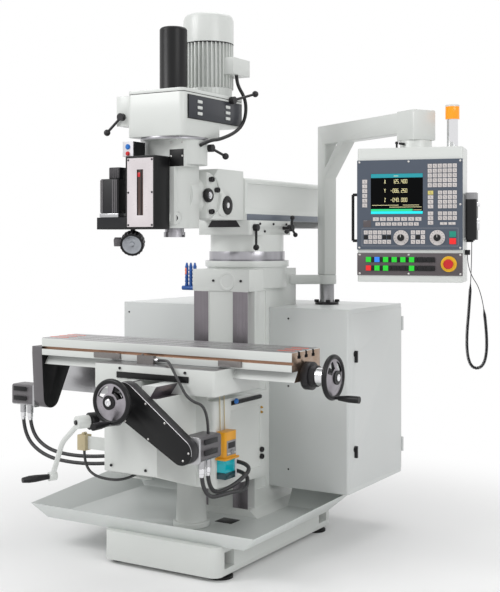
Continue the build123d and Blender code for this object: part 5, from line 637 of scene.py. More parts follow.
HOSE = (HOSE_BLACK, "knee_body", "conduit_grey", "medium", "hanging", "knee_conduits")
SLIDING_HOSE = (HOSE_BLACK, ("table_body", "saddle_body"), "conduit_grey", "medium", "hanging",
                "x_motor_conduits")
cable("y_servo_conduit_front",
      ((0.295, -0.639, 0.508), (0.295, -0.639, 0.375), (0.375, -0.520, 0.400), (0.378, -0.410, 0.385),
       (0.335, -0.330, 0.445), (0.240, -0.330, 0.445)), 0.018, *HOSE)
cable("y_servo_conduit_rear",
      ((0.295, -0.593, 0.508), (0.295, -0.593, 0.385), (0.352, -0.470, 0.410), (0.378, -0.330, 0.485),
       (0.240, -0.330, 0.485)), 0.018, *HOSE)
cable("knee_switch_conduit",
      ((-0.270, -0.715, 0.545), (-0.270, -0.715, 0.475), (-0.205, -0.705, 0.425), (-0.060, -0.680, 0.425),
       (0.045, -0.630, 0.515), (0.113, -0.630, 0.515)), 0.012, *HOSE)
cable("motor_lead",
      ((0.140, -0.110, 2.231), (0.140, -0.110, 2.190), (0.174, -0.082, 2.120), (0.174, -0.084, 2.030),
       (0.172, -0.150, 1.965), (0.172, -0.300, 1.915), (0.168, -0.385, 1.905), (0.156, -0.437, 1.880)),
      0.016, LEAD_BLACK, "head", "cord_rubber", "stiff", "hanging", "motor_cable")
moving_cable("x_servo_conduit_left", ((-0.932, -0.385, 0.611), (-0.932, -0.385, 0.500),
             (-0.800, -0.385, 0.405), (-0.600, -0.365, 0.385), (-0.400, -0.310, 0.400),
             (-0.310, -0.285, 0.440), (-0.233, -0.285, 0.440)), 0.018, *SLIDING_HOSE)
moving_cable("x_servo_conduit_right", ((-0.886, -0.385, 0.611), (-0.886, -0.385, 0.525),
             (-0.780, -0.385, 0.440), (-0.600, -0.367, 0.420), (-0.400, -0.310, 0.435),
             (-0.310, -0.285, 0.475), (-0.233, -0.285, 0.475)), 0.018, *SLIDING_HOSE)
moving_cable("table_switch_conduit", ((-0.060, -0.4825, 0.9277), (0.0, -0.4825, 0.9277),
             (0.095, -0.592, 0.940), (0.165, -0.618, 0.860), (0.215, -0.618, 0.785), (0.310, -0.612, 0.765),
             (0.310, -0.612, 0.652)), 0.012, HOSE_BLACK, ("saddle_body", "knee_body"), "conduit_grey",
             "medium", "loose", "switch_conduit")


# Floor and light
def studio():
    """A pale floor that fades into white, white air behind it, and three softboxes."""
    bpy.ops.object.select_all(action="DESELECT")
    bpy.ops.mesh.primitive_plane_add(size=60, location=(0, 0, 0))
    floor = fresh("studio_floor")
    pale = shaded("pale_floor", {"Base Color": (0.92, 0.92, 0.92, 1), "Roughness": 0.9})
    tree = pale.node_tree
    where = node(tree, "TexCoord")
    away = node(tree, "VectorMath", operation="LENGTH")
    fade = node(tree, "MapRange", {"From Min": 1.0, "From Max": 2.6}, interpolation_type="SMOOTHSTEP")
    ray = node(tree, "LightPath")
    either = node(tree, "Math", operation="MAXIMUM")
    share = node(tree, "Math", operation="MULTIPLY")
    glow = node(tree, "Emission", {"Color": (1, 1, 1, 1)})
    mix = node(tree, "MixShader")
    link(tree, (where, "Object", away, 0), (away, "Value", fade, "Value"),
         (ray, "Is Camera Ray", either, 0), (ray, "Is Glossy Ray", either, 1), (either, 0, share, 0),
         (fade, "Result", share, 1), (share, 0, mix, "Fac"), (tree.nodes["Principled BSDF"], "BSDF", mix,
         1), (glow, "Emission", mix, 2), (mix, "Shader", tree.nodes["Material Output"], "Surface"))
    floor.data.materials.append(pale)
    world = bpy.data.worlds.new("studio_air")
    scene.world = world
    world.use_nodes = True
    tree = world.node_tree
    soft = tree.nodes["Background"]
    soft.inputs["Color"].default_value = (1, 1, 1, 1)
    soft.inputs["Strength"].default_value = 0.52
    white = node(tree, "Background", {"Color": (1, 1, 1, 1), "Strength": 1.0})
    ray = node(tree, "LightPath")
    first = node(tree, "Math", operation="MAXIMUM")
    second = node(tree, "Math", operation="MAXIMUM")
    mix = node(tree, "MixShader")
    link(tree, (ray, "Is Camera Ray", first, 0), (ray, "Is Transmission Ray", first, 1),
         (first, 0, second, 0), (ray, "Is Glossy Ray", second, 1), (second, 0, mix, "Fac"),
         (soft, "Background", mix, 1), (white, "Background", mix, 2),
         (mix, "Shader", tree.nodes["World Output"], "Surface"))
    for name, place, aim, size, power in (
            ("key_softbox", (-2.6, -4.2, 4.6), (0, -0.2, 1.0), 2.6, 150),
            ("fill_softbox", (4.6, -2.2, 3.2), (0.2, 0, 1.1), 2.4, 70),
            ("top_softbox", (0.6, 1.2, 5.2), (0, 0, 1.0), 3.0, 60)):
        lamp = bpy.data.lights.new(name, "AREA")
        lamp.shape = "SQUARE"
        lamp.size = size
        lamp.energy = power
        softbox = bpy.data.objects.new(name, lamp)
        softbox.location = place
        softbox.rotation_euler = (Vector(aim) - Vector(place)).to_track_quat("-Z", "Y").to_euler()
        scene.collection.objects.link(softbox)


studio()

# Places that come again: the knuckle's axis, the pendant bracket's post, the ram block's plate, the motor
KNUCKLE_Y, KNUCKLE_Z = -0.310, 1.665
BRACKET_X, BRACKET_Y = 0.295, 0.512
PLATE_Y, PLATE_Z = -0.152, 1.624
MOTOR_Y = -0.135

# Castings: merged copies of the solids with eased corners, painted and machined where the photograph shows it
column_casting = cast("column", "column_casting", 0.004, "base", "machine_paint")
scored(column_casting, ((0, 0, 1.2160), (0, 0, 1)), ((0, 0, 0.1900), (0, 0, 1)))
wear(column_casting, ENAMEL,
     (WAY_STEEL, lambda c, n: n.y < -0.9 and c.y < -0.028 and 0.069 < abs(c.x) < 0.153 and c.z < 1.2155),
     (WAY_STEEL, lambda c, n: c.y < 0.019 and abs(c.x) > 0.119 and c.z < 1.214 and abs(n.x) > 0.5
      and n.y > 0.3),
     (TURNED_STEEL_PAINTED_REFLECTIONS, lambda c, n: c.z > 1.361 and n.z > 0.9))
wear(cast("base_casting", "base_body", 0.006, "base", "machine_paint"), ENAMEL,
     (DARK_STEEL, lambda c, n: 0.05 < c.z < 0.118 and abs(c.x) < 0.219 and abs(c.y) > 0.39
      and abs(n.x) > 0.5))
wear(cast("chip_tray", "tray_sheet", 0.0012, "base", "tray_paint"), TRAY_ENAMEL)
wear(cast("elevating_pedestal", "lift_pedestal", 0.004, "base", "machine_paint"), ENAMEL)
wear(cast("electrical_cabinet", "cabinet_body", 0.003, "base", "machine_paint"), CABINET_ENAMEL)
wear(cast("cabinet_door", "cabinet_door_leaf", 0.002, "door", "door_paint"), CABINET_ENAMEL,
     (BLACK_PLASTIC, lambda c, n: c.x > 0.5885 and c.y < 0.76))
wear(cast("pendant_bracket", "arm_bracket", 0.004, "base", "machine_paint"), ENAMEL,
     (DARK_STEEL, lambda c, n: c.z < 1.1505),
     (PART_STEEL, lambda c, n: 1.15 < c.z < 1.239 and hypot(c.x - BRACKET_X, c.y - BRACKET_Y) < 0.0385))
wear(cast("pendant_arm", "swing_arm", 0.005, "arm", "machine_paint"), ENAMEL)
wear(cast("pendant_box", "pendant_housing", 0.004, "pendant", "machine_paint"), ENAMEL)
wear(cast("knee", "knee_casting", 0.005, "knee_body", "machine_paint"), ENAMEL,
     (WAY_STEEL, lambda c, n: c.z > 0.799 and (n.z > 0.9 or abs(n.x) > 0.5) and abs(c.x) > 0.058),
     (PART_STEEL, lambda c, n: c.y < -0.7415),
     (BLACK_PLASTIC, lambda c, n: c.x > 0.2405 and 0.70 < c.z < 0.76))
wear(cast("saddle", "saddle_casting", 0.005, "saddle_body", "machine_paint"), ENAMEL,
     (PART_STEEL, lambda c, n: n.z > 0.9 and c.z > 0.908))
wear(cast("saddle_guards", "saddle_wipers", 0.0012, "saddle_body", "black_paint"), BLACK_ENAMEL,
     (SERVO_SILVER, lambda c, n: c.x < -0.33))
wear(cast("table", "table_plate", 0.0012, "table_body", "way_steel"), ENAMEL,
     (TABLE_STEEL, lambda c, n: c.z > 0.9925 and n.z > 0.7),
     # Painted shade: the T-slots' insides are blackened steel to darken the recesses
     (DARK_STEEL, lambda c, n: 0.960 < c.z < 0.992 and -0.41 < c.y < -0.24 and abs(n.x) < 0.5),
     (COPPERY, lambda c, n: c.y < -0.440 and 0.938 < c.z < 0.954),
     (SWITCH_ALLOY, lambda c, n: c.y < -0.4565),
     (PART_STEEL, lambda c, n: c.z < 0.9115 and n.z < 0.5),
     (TABLE_END, lambda c, n: abs(n.x) > 0.9 and abs(c.x + 0.062) > 0.68))
wear(cast("x_belt_cover", "x_drive_cover", 0.003, "table_body", "cover_black"), BLACK_ENAMEL,
     (SERVO_GREY, lambda c, n: abs(n.x) < 0.5))
wear(cast("y_belt_cover", "y_drive_cover", 0.003, "knee_body", "cover_black"), BLACK_ENAMEL,
     (DARK_STEEL, lambda c, n: abs(n.y) < 0.5),
     (SERVO_SILVER, lambda c, n: abs(n.y) < 0.9 and c.y < -0.790 and n.x * 0.5 + n.z * 0.8 > 0.3))
wear(cast("x_servo", "x_servo_motor", 0.002, "table_body", "servo_grey"), SERVO_GREY,
     (SERVO_SILVER, lambda c, n: c.z < 0.661 or c.x > -0.8235))
wear(cast("y_servo", "y_servo_motor", 0.002, "knee_body", "servo_grey"), SERVO_GREY,
     (SERVO_SILVER, lambda c, n: c.z < 0.558 or c.y < -0.7265))
wear(cast("x_bearing", "x_bearing_housing", 0.002, "table_body", "black_paint"), DARK_STEEL)
wear(cast("turret", "turret_casting", 0.005, "turret_body", "machine_paint"), ENAMEL,
     (TURNED_STEEL_PAINTED_REFLECTIONS, lambda c, n: c.z < 1.4065 and abs(n.z) < 0.5),
     (PART_STEEL, lambda c, n: c.z > 1.524 and abs(c.x) < 0.096 and abs(n.y) < 0.5),
     (BLACK_PLASTIC, lambda c, n: c.x > 0.1505 and abs(c.y - 0.034) < 0.02 and c.z > 1.41))
wear(cast("ram", "ram_casting", 0.005, "ram_body", "machine_paint"), ENAMEL,
     (PART_STEEL, lambda c, n: c.z < 1.5575 and c.y > 0.001),
     # Painted shade: the dovetail's front end is dark steel to stand for the shadowed void
     (DARK_STEEL, lambda c, n: c.z < 1.5570 and n.y < -0.9),
     # Gib strip and painted shade of the gap under the ram
     (GIB_AND_GAP_SHADE, lambda c, n: abs(c.x) > 0.1245 and c.z < 1.5850))
wear(cast("ram_adapter", "nod_knuckle", 0.003, "knuckle", "machine_paint"), ENAMEL,
     (DARK_STEEL, lambda c, n: c.x > 0.1045))
wear(cast("head_casting", "head_body", 0.004, "head", "machine_paint"), ENAMEL,
     (TURNED_STEEL_PAINTED_REFLECTIONS, lambda c, n: c.z > 1.9055 and abs(n.z) < 0.7),
     (BLACK_ENAMEL, lambda c, n: c.y < -0.5005 and c.z > 1.78 and c.z < 1.90),
     (PART_STEEL, lambda c, n: n.z < -0.8 and c.z < 1.52))
wear(cast("belt_housing", "belt_cover", 0.004, "head", "machine_paint"), ENAMEL,
     (BLACK_ENAMEL, lambda c, n: c.x > 0.1525),
     (DARK_STEEL, lambda c, n: 2.1045 < c.z < 2.1085 and abs(n.z) < 0.9))
wear(cast("spindle_motor", "head_motor", 0.0008, "head", "machine_paint"), ENAMEL)
wear(cast("drawbar_cover", "drawbar_tube", 0.002, "head", "black_paint"), BLACK_ENAMEL)
quill_box = cast("z_axis_box", "quill_drive_box", 0.002, "head", "machine_paint")
scored(quill_box, ((-0.110, 0, 0), (1, 0, 0)), ((0.030, 0, 0), (1, 0, 0)), ((0, 0, 1.520), (0, 0, 1)),
       ((0, 0, 1.820), (0, 0, 1)))
wear(quill_box, BLACK_ENAMEL,
     (SERVO_BLACK, lambda c, n: c.x < -0.168 and c.z > 1.563),
     (WHITE_PLASTIC, lambda c, n: c.z > 1.8305 and n.y < -0.5),
     (PLATE_ALLOY, lambda c, n: n.y < -0.9 and c.y < -0.6175 and -0.110 < c.x < 0.030
      and 1.520 < c.z < 1.820),
     (WINDOW_DARK, lambda c, n: n.y < -0.9 and -0.6155 < c.y < -0.611 and 1.57 < c.z < 1.77))
wear(cast("lube_unit", "oil_pump", 0.002, "knee_body", "lube_yellow"), PUMP_YELLOW,
     (TANK_TEAL, lambda c, n: c.z < 0.5105),
     (GREY_PLASTIC, lambda c, n: c.x > 0.2905))
wear(cast("coolant_nozzles", "nozzle_row", 0.0004, "base", "nozzle_blue"), NOZZLE_BLUE,
     (NOZZLE_ORANGE, lambda c, n: c.x < -0.235 and 1.296 < c.z < 1.324))
for finish, names in (
        (BLACK_ENAMEL, ("levelling_feet", "pendant_handles")), (FACE_SLATE, ("control_faceplate",)),
        (SCREEN_BLACK, ("screen",)), (RED_PLASTIC, ("e_stop_button",)),
        (PART_STEEL, ("elevating_screw", "y_ballscrew", "x_ballscrew")),
        (BLACK_PLASTIC, ("crank_grip", "work_lamp")), (SWITCH_ALLOY, ("table_limit_switch",)),
        (DARK_STEEL, ("ram_pinion_lever", "range_lever_left", "range_lever_right", "brake_lever")),
        (TURNED_STEEL_PAINTED_REFLECTIONS, ("quill", "spindle"))):
    for solid in names:
        repaint(solid, finish)

# Fasteners, each modelled once and copied
cap_screw = turned("cap_screw", ((0.0050, 0), (0.0060, 0.0008), (0.0060, 0.0050), (0.0052, 0.0060),
                   (0.0032, 0.0060), (0.0030, 0.0025)), sides=16)
pan_screw = turned("pan_screw", ((0.0048, 0), (0.0048, 0.0008), (0.0036, 0.0022), (0.0016, 0.0028)),
                   sides=14)
wide_bolt = turned("wide_bolt", ((0.0120, 0), (0.0125, 0.0010), (0.0125, 0.0100), (0.0108, 0.0125),
                   (0.0065, 0.0125), (0.0060, 0.0065)), sides=20)
spread("column_screws", cap_screw, [facing((x, -0.0302, 1.268), FRONT) for x in (-0.040, 0.115)],
       DARK_STEEL, "base", "iron")
spread("saddle_bolts", cap_screw, [facing((x, -0.5842, 0.8950), FRONT) for x in (-0.175, 0.175)],
       DARK_STEEL, "saddle_body", "iron")
spread("knee_screws", cap_screw, [facing((x, -0.7402, z), FRONT) for x, z in ((-0.100, 0.500),
       (0.082, 0.496))], DARK_STEEL, "knee_body", "iron")
spread("knuckle_bolts", wide_bolt, [facing((0.1122, KNUCKLE_Y + 0.078 * cos(radians(a)),
       KNUCKLE_Z + 0.078 * sin(radians(a))), RIGHT) for a in (70, 20, -70)], DARK_STEEL, "knuckle", "iron")
spread("head_plate_screws", pan_screw, [facing((0.075 + 0.030 * i, -0.5052, 1.8615 + 0.030 * j), FRONT)
       for i in (-1, 1) for j in (-1, 1)], PALE_SCREW, "head", "chrome")
spread("quill_box_screws", pan_screw, [facing((x, -0.6182, z), FRONT) for x in (-0.1035, 0.0235)
       for z in (1.528, 1.670, 1.812)], DARK_STEEL, "head", "iron")
drive = Vector((0.295, 0, 0.602)) - Vector((0, 0, 0.793))
drive.normalize()
aside = Vector((-drive.z, 0, drive.x))
spread("y_cover_screws", pan_screw, [facing(Vector((0, -0.7952, 0.793)) + drive * d + aside * o, FRONT)
       for d, o in ((0.105, 0.060), (0.225, 0.052), (0.060, -0.063), (0.195, -0.054), (0.380, -0.020),
       (0.385, 0.022))], PALE_SCREW, "knee_body", "chrome")
spread("turret_bolts", cap_screw, [facing((0.1502, y, z), RIGHT) for y, z in ((0.085, 1.541),
       (0.215, 1.541), (0.345, 1.541), (0.130, 1.505))], DARK_STEEL, "turret_body", "iron")
spread("bracket_bolts", wide_bolt, [facing((BRACKET_X + 0.052 * cos(a), BRACKET_Y + 0.052 * sin(a), 1.1492),
       UP) for a in (0.6, 2.2, 3.7, 5.3)], DARK_STEEL, "base", "iron")
spread("cabinet_screws", pan_screw, [facing((x, 0.1568, z), FRONT) for x in (0.268, -0.690)
       for z in (0.360, 0.760, 1.085)], DARK_STEEL, "base", "iron")

# Column and head
put(turned("column_boss", ((0.046, 0), (0.044, 0.0030), (0.034, 0.0030), (0.032, 0.0012)),
    (0.036, -0.0302, 1.266), FRONT, 48), ENAMEL, "base", "machine_paint")
knob = turned("knuckle_knob", ((0.030, 0), (0.032, 0.002), (0.032, 0.015), (0.027, 0.021), (0.016, 0.021),
              (0.015, 0.017), (0.012, 0.017), (0.011, 0.024), (0.005, 0.027)),
              (0.1042, KNUCKLE_Y, KNUCKLE_Z), RIGHT, 40)
put(knob, BLACK_ENAMEL, "knuckle", "black_paint",
    (CHROME, lambda c, n: c.x > 0.1205 and hypot(c.y - KNUCKLE_Y, c.z - KNUCKLE_Z) < 0.0158))
put(turned("block_plate", ((0.043, 0), (0.044, 0.0010), (0.044, 0.0070), (0.042, 0.0085), (0.024, 0.0085),
    (0.022, 0.0068)), (0.1102, PLATE_Y, PLATE_Z), RIGHT, 44), BLACK_ENAMEL, "ram_body", "black_paint")
put(turned("block_centre", ((0.014, 0), (0.013, 0.004), (0.006, 0.007)), (0.1168, PLATE_Y, PLATE_Z), RIGHT,
    28), CHROME, "ram_body", "chrome")
put(turned("head_side_boss", ((0.030, 0), (0.028, 0.006), (0.014, 0.006), (0.012, 0.002)),
    (0.052, -0.486, 1.560), (0.6, -0.8, 0), 36), ENAMEL, "head", "machine_paint",
    (DARK_STEEL, lambda c, n: (c - Vector((0.052, -0.486, 1.560))).length < 0.0148))
put(slab("scale_pointer", (-0.0555, -0.6150, 1.738), (-0.0420, -0.6130, 1.757), 0.0006), POINTER_RED,
    "head", "red_plastic")
put(slab("scale_rod", (-0.0395, -0.6150, 1.572), (-0.0345, -0.6130, 1.768), 0.0008), DARK_STEEL, "head",
    "iron")
for name, profile, up, finish, slot in (
        ("feed_on_button", ((0.012, 0), (0.012, 0.003), (0.009, 0.003), (0.0085, 0.007)), 1.873,
         BLUE_CAP, "black_plastic"),
        ("feed_off_button", ((0.010, 0), (0.010, 0.003), (0.0078, 0.003), (0.0072, 0.008)), 1.843,
         RED_PLASTIC, "red_plastic")):
    put(turned(name, profile, (-0.119, -0.6002, up), FRONT, 24), finish, "head", slot)
put(slab("quill_servo_flange", (-0.2690, -0.6120, 1.5635), (-0.1640, -0.5080, 1.5810), 0.0015),
    SERVO_SILVER, "head", "servo_grey")
# Painted highlights: the ribs on the black servo are grey to stand for the light on their edges
rib = slab("servo_rib", (-0.0028, -0.0016, 0), (0.0028, 0, 0.146), 0.0008, 1)
spread("quill_servo_ribs_painted_highlight", rib, [Matrix.Translation((x, -0.6102, 1.584))
       for x in (-0.263, -0.254, -0.196, -0.186, -0.176)], SERVO_GREY, "head", "servo_grey")
put(slab("quill_servo_socket", (-0.232, -0.592, 1.7335), (-0.170, -0.530, 1.786), 0.004), SERVO_BLACK,
    "head", "servo_grey")
# Painted highlights: the socket's ribs are grey like the servo's
short_rib = slab("socket_rib", (-0.0025, -0.0014, 0), (0.0025, 0, 0.044), 0.0006, 1)
spread("socket_ribs_painted_highlight", short_rib, [Matrix.Translation((x, -0.5922, 1.738))
       for x in (-0.224, -0.213, -0.202, -0.191, -0.180)], SERVO_GREY, "head", "servo_grey")
put(slab("vent_plate", (0.1560, -0.5310, 1.9940), (0.1584, -0.0940, 2.0920), 0.0006), PANEL_SLATE, "head",
    "black_paint")
hood = slab("vent_hood", (-0.0010, -0.0180, -0.0070), (0.0050, 0.0180, 0.0070), 0.0045, 3)
spread("vent_hoods", hood, [Matrix.Translation((0.1584, y, z)) for y in (-0.448, -0.218)
       for z in (2.017, 2.043, 2.069)], ENAMEL, "head", "machine_paint")
put(turned("fan_cover_skirt", ((0.1176, 0), (0.1188, 0.0012), (0.1188, 0.1080), (0.1176, 0.1130)),
    (0, MOTOR_Y, 2.3810), UP, 72), ENAMEL, "head", "machine_paint")
put(turned("fan_cover_gap", ((0.1176, 0), (0.1180, 0.0006), (0.1180, 0.0040)), (0, MOTOR_Y, 2.3772), UP, 72),
    DARK_STEEL, "head", "iron")

# Work lamp: its dish with the bulb, the knob and the ribs round its rim
turn, tip = radians(28), radians(22)
beam = Vector((sin(turn) * cos(tip), -cos(turn) * cos(tip), -sin(tip)))
LAMP = facing((-0.131, -0.548, 1.455), beam)
reflector = turned("lamp_dish", ((0.0450, 0.0303), (0.0455, 0.0372), (0.0420, 0.0358), (0.0300, 0.0322),
                   (0.0140, 0.0308), (0.0120, 0.0308), (0.0115, 0.0350), (0.0050, 0.0385)), sides=44)
put(settle(reflector, LAMP), REFLECTOR_PAINTED_REFLECTIONS, "lamp", "chrome",
    (BLACK_PLASTIC, lambda c, n: (LAMP.inverted() @ c).xy.length > 0.0405))
lamp_knob = slab("lamp_knob", (-0.084, -0.017, -0.014), (-0.050, 0.017, 0.016), 0.003)
put(settle(lamp_knob, LAMP), SERVO_GREY, "lamp", "black_plastic")
fin = slab("lamp_fin", (-0.0030, 0.0505, -0.004), (0.0030, 0.0545, 0.036), 0.0008, 1)
spread("lamp_fins", fin, [LAMP @ Matrix.Rotation(2 * pi * k / 20, 4, "Z") for k in range(20)], SERVO_GREY,
       "lamp", "black_plastic")

# Handwheels and crank
WINDOW_STARTS, WINDOW_SWEEP, WINDOW_INNER, WINDOW_OUTER = (76, 162), 58, 0.039, 0.070
WEB_INNER, WEB_OUTER, WEB_HALF, DIAL_FRONT, DIAL_RADIUS = 0.031, 0.0765, 0.023, -0.0225, 0.0415


def ahead(c, hub, out):
    """How far a place lies in front of a wheel's hub."""
    return (c - hub).dot(out)


def off(c, hub, out):
    """How far a place lies from a wheel's axis."""
    return (c - hub - out * ahead(c, hub, out)).length


for solid, name, body, hub, out in (("y_handwheel", "y_wheel", "y_drive", (0, -0.8653, 0.793), FRONT),
                                    ("x_handwheel", "x_wheel", "x_drive", (0.7523, -0.329, 0.886), RIGHT)):
    wheel = cast(solid, name, 0, body, "black_plastic")
    hub, out = Vector(hub), Vector(out)
    for start in WINDOW_STARTS:
        window = sector(name + "_cutter", hub, out, WINDOW_INNER, WINDOW_OUTER, start, WINDOW_SWEEP)
        pierced(wheel, window)
    only(wheel)
    bpy.ops.object.shade_smooth_by_angle(angle=radians(SOLID_SMOOTH))
    wear(wheel, BLACK_PLASTIC,
         (WEB_STEEL, lambda c, n: WEB_INNER < off(c, hub, out) < WEB_OUTER and abs(n.dot(out)) > 0.6
          and abs(ahead(c, hub, out)) < WEB_HALF),
         (CHROME, lambda c, n: ahead(c, hub, out) < DIAL_FRONT and off(c, hub, out) < DIAL_RADIUS))
    put(turned(name + "_nut", ((0.015, 0), (0.015, 0.004), (0.012, 0.006), (0.006, 0.006), (0.005, 0.003)),
               hub + out * 0.0222, out, 24), CHROME, body, "chrome")
lean = radians(23)
reach = Vector((-sin(lean), -cos(lean), 0))
pivot = Vector((-0.139, -0.900, 0.703))
wear(cast("knee_crank", "lift_crank", 0.0012, "crank", "chrome"), ENAMEL,
     (BLACK_ENAMEL, lambda c, n: -0.0720 < (c - pivot).dot(reach) < -0.0400 and c.z > 0.66),
     (PART_STEEL, lambda c, n: (c - pivot).dot(reach) < -0.0720))
put(turned("crank_nut", ((0.011, 0), (0.011, 0.005), (0.009, 0.007)), pivot + reach * 0.0172, reach, 6),
    DARK_STEEL, "crank", "iron")

# Table: plugs in the slot ends, bright glands on the cables, servo patches, and the grid in the tray
for number, y in enumerate((-0.393, -0.329, -0.265)):
    for side, left, right in (("left", -0.747, -0.640), ("right", 0.520, 0.600)):
        plug = slab("%s_slot_plug_%d" % (side, number), (left, y - 0.0076, 0.984),
                    (right, y + 0.0076, 0.9946), 0.0008)
        put(plug, ORANGE_PLUG, "table_body", "red_plastic")
put(turned("switch_gland", ((0.0085, 0), (0.0095, 0.002), (0.0095, 0.012), (0.0075, 0.014), (0.0075, 0.022),
    (0.0065, 0.023)), (-0.0602, -0.4825, 0.9277), RIGHT, 24), CHROME, "saddle_body", "chrome")
for name, place, body in (("x_gland_left", (-0.932, -0.385, 0.6112), "table_body"),
                          ("x_gland_right", (-0.886, -0.385, 0.6112), "table_body"),
                          ("y_gland_front", (0.295, -0.639, 0.5082), "knee_body"),
                          ("y_gland_rear", (0.295, -0.593, 0.5082), "knee_body")):
    put(turned(name, ((0.0125, 0), (0.0135, 0.003), (0.0135, 0.020), (0.0115, 0.022), (0.0115, 0.034),
        (0.0102, 0.036)), place, DOWN, 24), CHROME, body, "chrome")
for axis, low, high, heights, body in (
        ("x", (-0.944, -0.4422), (-0.862, -0.4402), (0.678, 0.724), "table_body"),
        ("y", (0.3502, -0.700), (0.3522, -0.602), (0.576, 0.621), "knee_body")):
    patches = [slab("%s_patch_%d" % (axis, k), (*low, z), (*high, z + 0.022), 0.0006)
               for k, z in enumerate(heights)]
    put(joined(axis + "_servo_patches", patches), BLACK_PLASTIC, body, "black_plastic")
put(slab("drain_grid", (0.060, -0.175, 0.1536), (0.150, -0.095, 0.1556), 0.0006), DARK_STEEL, "base",
    "iron")

# Knee: limit switch, rail cap, oil pump with its tank, oil lines, nipples and plugs
wear(cast("knee_limit_switch", "knee_switch", 0.0012, "knee_body", "switch_beige"), SWITCH_BEIGE,
     (ORANGE_PLUG, lambda c, n: n.x < -0.9 and c.x < -0.285),
     (ENAMEL, lambda c, n: c.x > -0.2475))
put(turned("rail_cap", ((0.012, 0), (0.013, 0.003), (0.011, 0.009), (0.005, 0.013)),
    (0.2522, -0.300, 0.745), RIGHT, 28), BLUE_CAP, "knee_body", "black_plastic")
put(slab("pump_panel", (0.2902, -0.4340, 0.5260), (0.2922, -0.3610, 0.5900), 0.0006), GREY_PLASTIC,
    "knee_body", "black_plastic")
spread("pump_keys", pan_screw, [facing((0.2921, -0.426 + 0.014 * k, 0.5335), RIGHT) for k in range(5)],
       PALE_SCREW, "knee_body", "chrome")
put(slab("pump_window", (0.2920, -0.4260, 0.5560), (0.2926, -0.3690, 0.5820), 0.0002), DARK_STEEL,
    "knee_body", "black_plastic")
put(slab("pump_flange", (0.2405, -0.4520, 0.5060), (0.2950, -0.3380, 0.5145), 0.001), PUMP_YELLOW,
    "knee_body", "lube_yellow")
put(slab("tank_foot", (0.2405, -0.4380, 0.4210), (0.2870, -0.3570, 0.4500), 0.002), TANK_OIL, "knee_body",
    "black_plastic")
put(slab("tank_strip", (0.2620, -0.3580, 0.4240), (0.2870, -0.3460, 0.5055), 0.0008), WHITE_PLASTIC,
    "knee_body", "black_plastic", (POINTER_RED, lambda c, n: c.z < 0.4300))
for name, y in (("oil_line_front", -0.420), ("oil_line_rear", -0.385)):
    put(rod(name, (0.2480, y, 0.6282), (0.2448, y, 0.790), 0.0022, 0.0004, 10), OIL_LINE, "knee_body",
        "chrome")
nipple = turned("oil_nipple", ((0.0060, 0), (0.0062, 0.0040), (0.0042, 0.0050), (0.0042, 0.0090),
                (0.0026, 0.0110)), sides=18)
for name, model, heights, finish, slot in (("oil_nipples", nipple, (0.684, 0.662), BRASS, "chrome"),
                                           ("drain_plugs", wide_bolt, (0.488, 0.456), DARK_STEEL, "iron")):
    spread(name, model, [facing((0.2395, -0.055, z), RIGHT) for z in heights], finish, "knee_body", slot)

# Pendant: keys, buttons, screen and fittings, modelled square and then turned with it
HOME = PENDANT.inverted()
FACE_LEFT, FACE_WIDTH, FACE_LOW, FACE_HEIGHT = -0.244, 0.462, 1.4207, 0.394
ROW_LEFT, BUTTON_PITCH, ROW_LOW, ROW_PITCH = -0.21166, 0.038115, 1.32044, 0.03773
KEY_BLOCKS = ((0.672, 0.950, 0.685, 0.951, 6, 5), (0.672, 0.732, 0.452, 0.655, 1, 4),
              (0.768, 0.950, 0.452, 0.655, 4, 4), (0.672, 0.732, 0.272, 0.425, 1, 3),
              (0.768, 0.950, 0.323, 0.425, 4, 2), (0.784, 0.940, 0.272, 0.306, 2, 1),
              (0.047, 0.103, 0.469, 0.788, 1, 6), (0.149, 0.621, 0.316, 0.365, 7, 1),
              (0.175, 0.595, 0.263, 0.307, 8, 1), (0.063, 0.331, 0.060, 0.218, 6, 3),
              (0.513, 0.654, 0.060, 0.218, 3, 3), (0.872, 0.945, 0.055, 0.210, 1, 2))
BUTTON_ROWS = (("red", "green", "green", "dark", "dark", "green", "dark", "dark"),
               ("green", "blue", "green", "green", "green", "green", "dark", "dark"))
DARK_KEYS = ((0.063, 0.108), (0.241, 0.331), (0.560, 0.607))
DARK_ROW = (0.1127, 0.1653)
YELLOW_KEY = (0.66, 0.74, 0.604, 0.66)
START_LEFT, START_LOW, START_TOP = 0.86, 0.1325, 0.215
PANEL_TOP, KEY_FRONT, PANEL_FRONT, FACE_FRONT = 1.410, -0.119, -0.1151, -0.1171
FACE_PRINT, SCREEN_PRINT, SCREEN_RULE = (-0.1173, -0.1168), (-0.1164, -0.1159), (-0.1166, -0.1161)


def on_face(across, up):
    """Place on the faceplate, from shares of its width and height."""
    return FACE_LEFT + FACE_WIDTH * across, FACE_LOW + FACE_HEIGHT * up


def key_colour(c):
    """The colour of the key or button at a place."""
    place = HOME @ c
    if place.z < PANEL_TOP:
        row = BUTTON_ROWS[min(int((place.z - ROW_LOW) / ROW_PITCH), 1)]
        return row[min(int((place.x - ROW_LEFT) / BUTTON_PITCH), 7)]
    across, up = (place.x - FACE_LEFT) / FACE_WIDTH, (place.z - FACE_LOW) / FACE_HEIGHT
    if across > START_LEFT and up < START_TOP:
        return "start" if up > START_LOW else "stop"
    left, right, low, high = YELLOW_KEY
    if left < across < right and low < up < high:
        return "yellow"
    if DARK_ROW[0] < up < DARK_ROW[1] and any(left < across < right for left, right in DARK_KEYS):
        return "dark"
    return "pale"


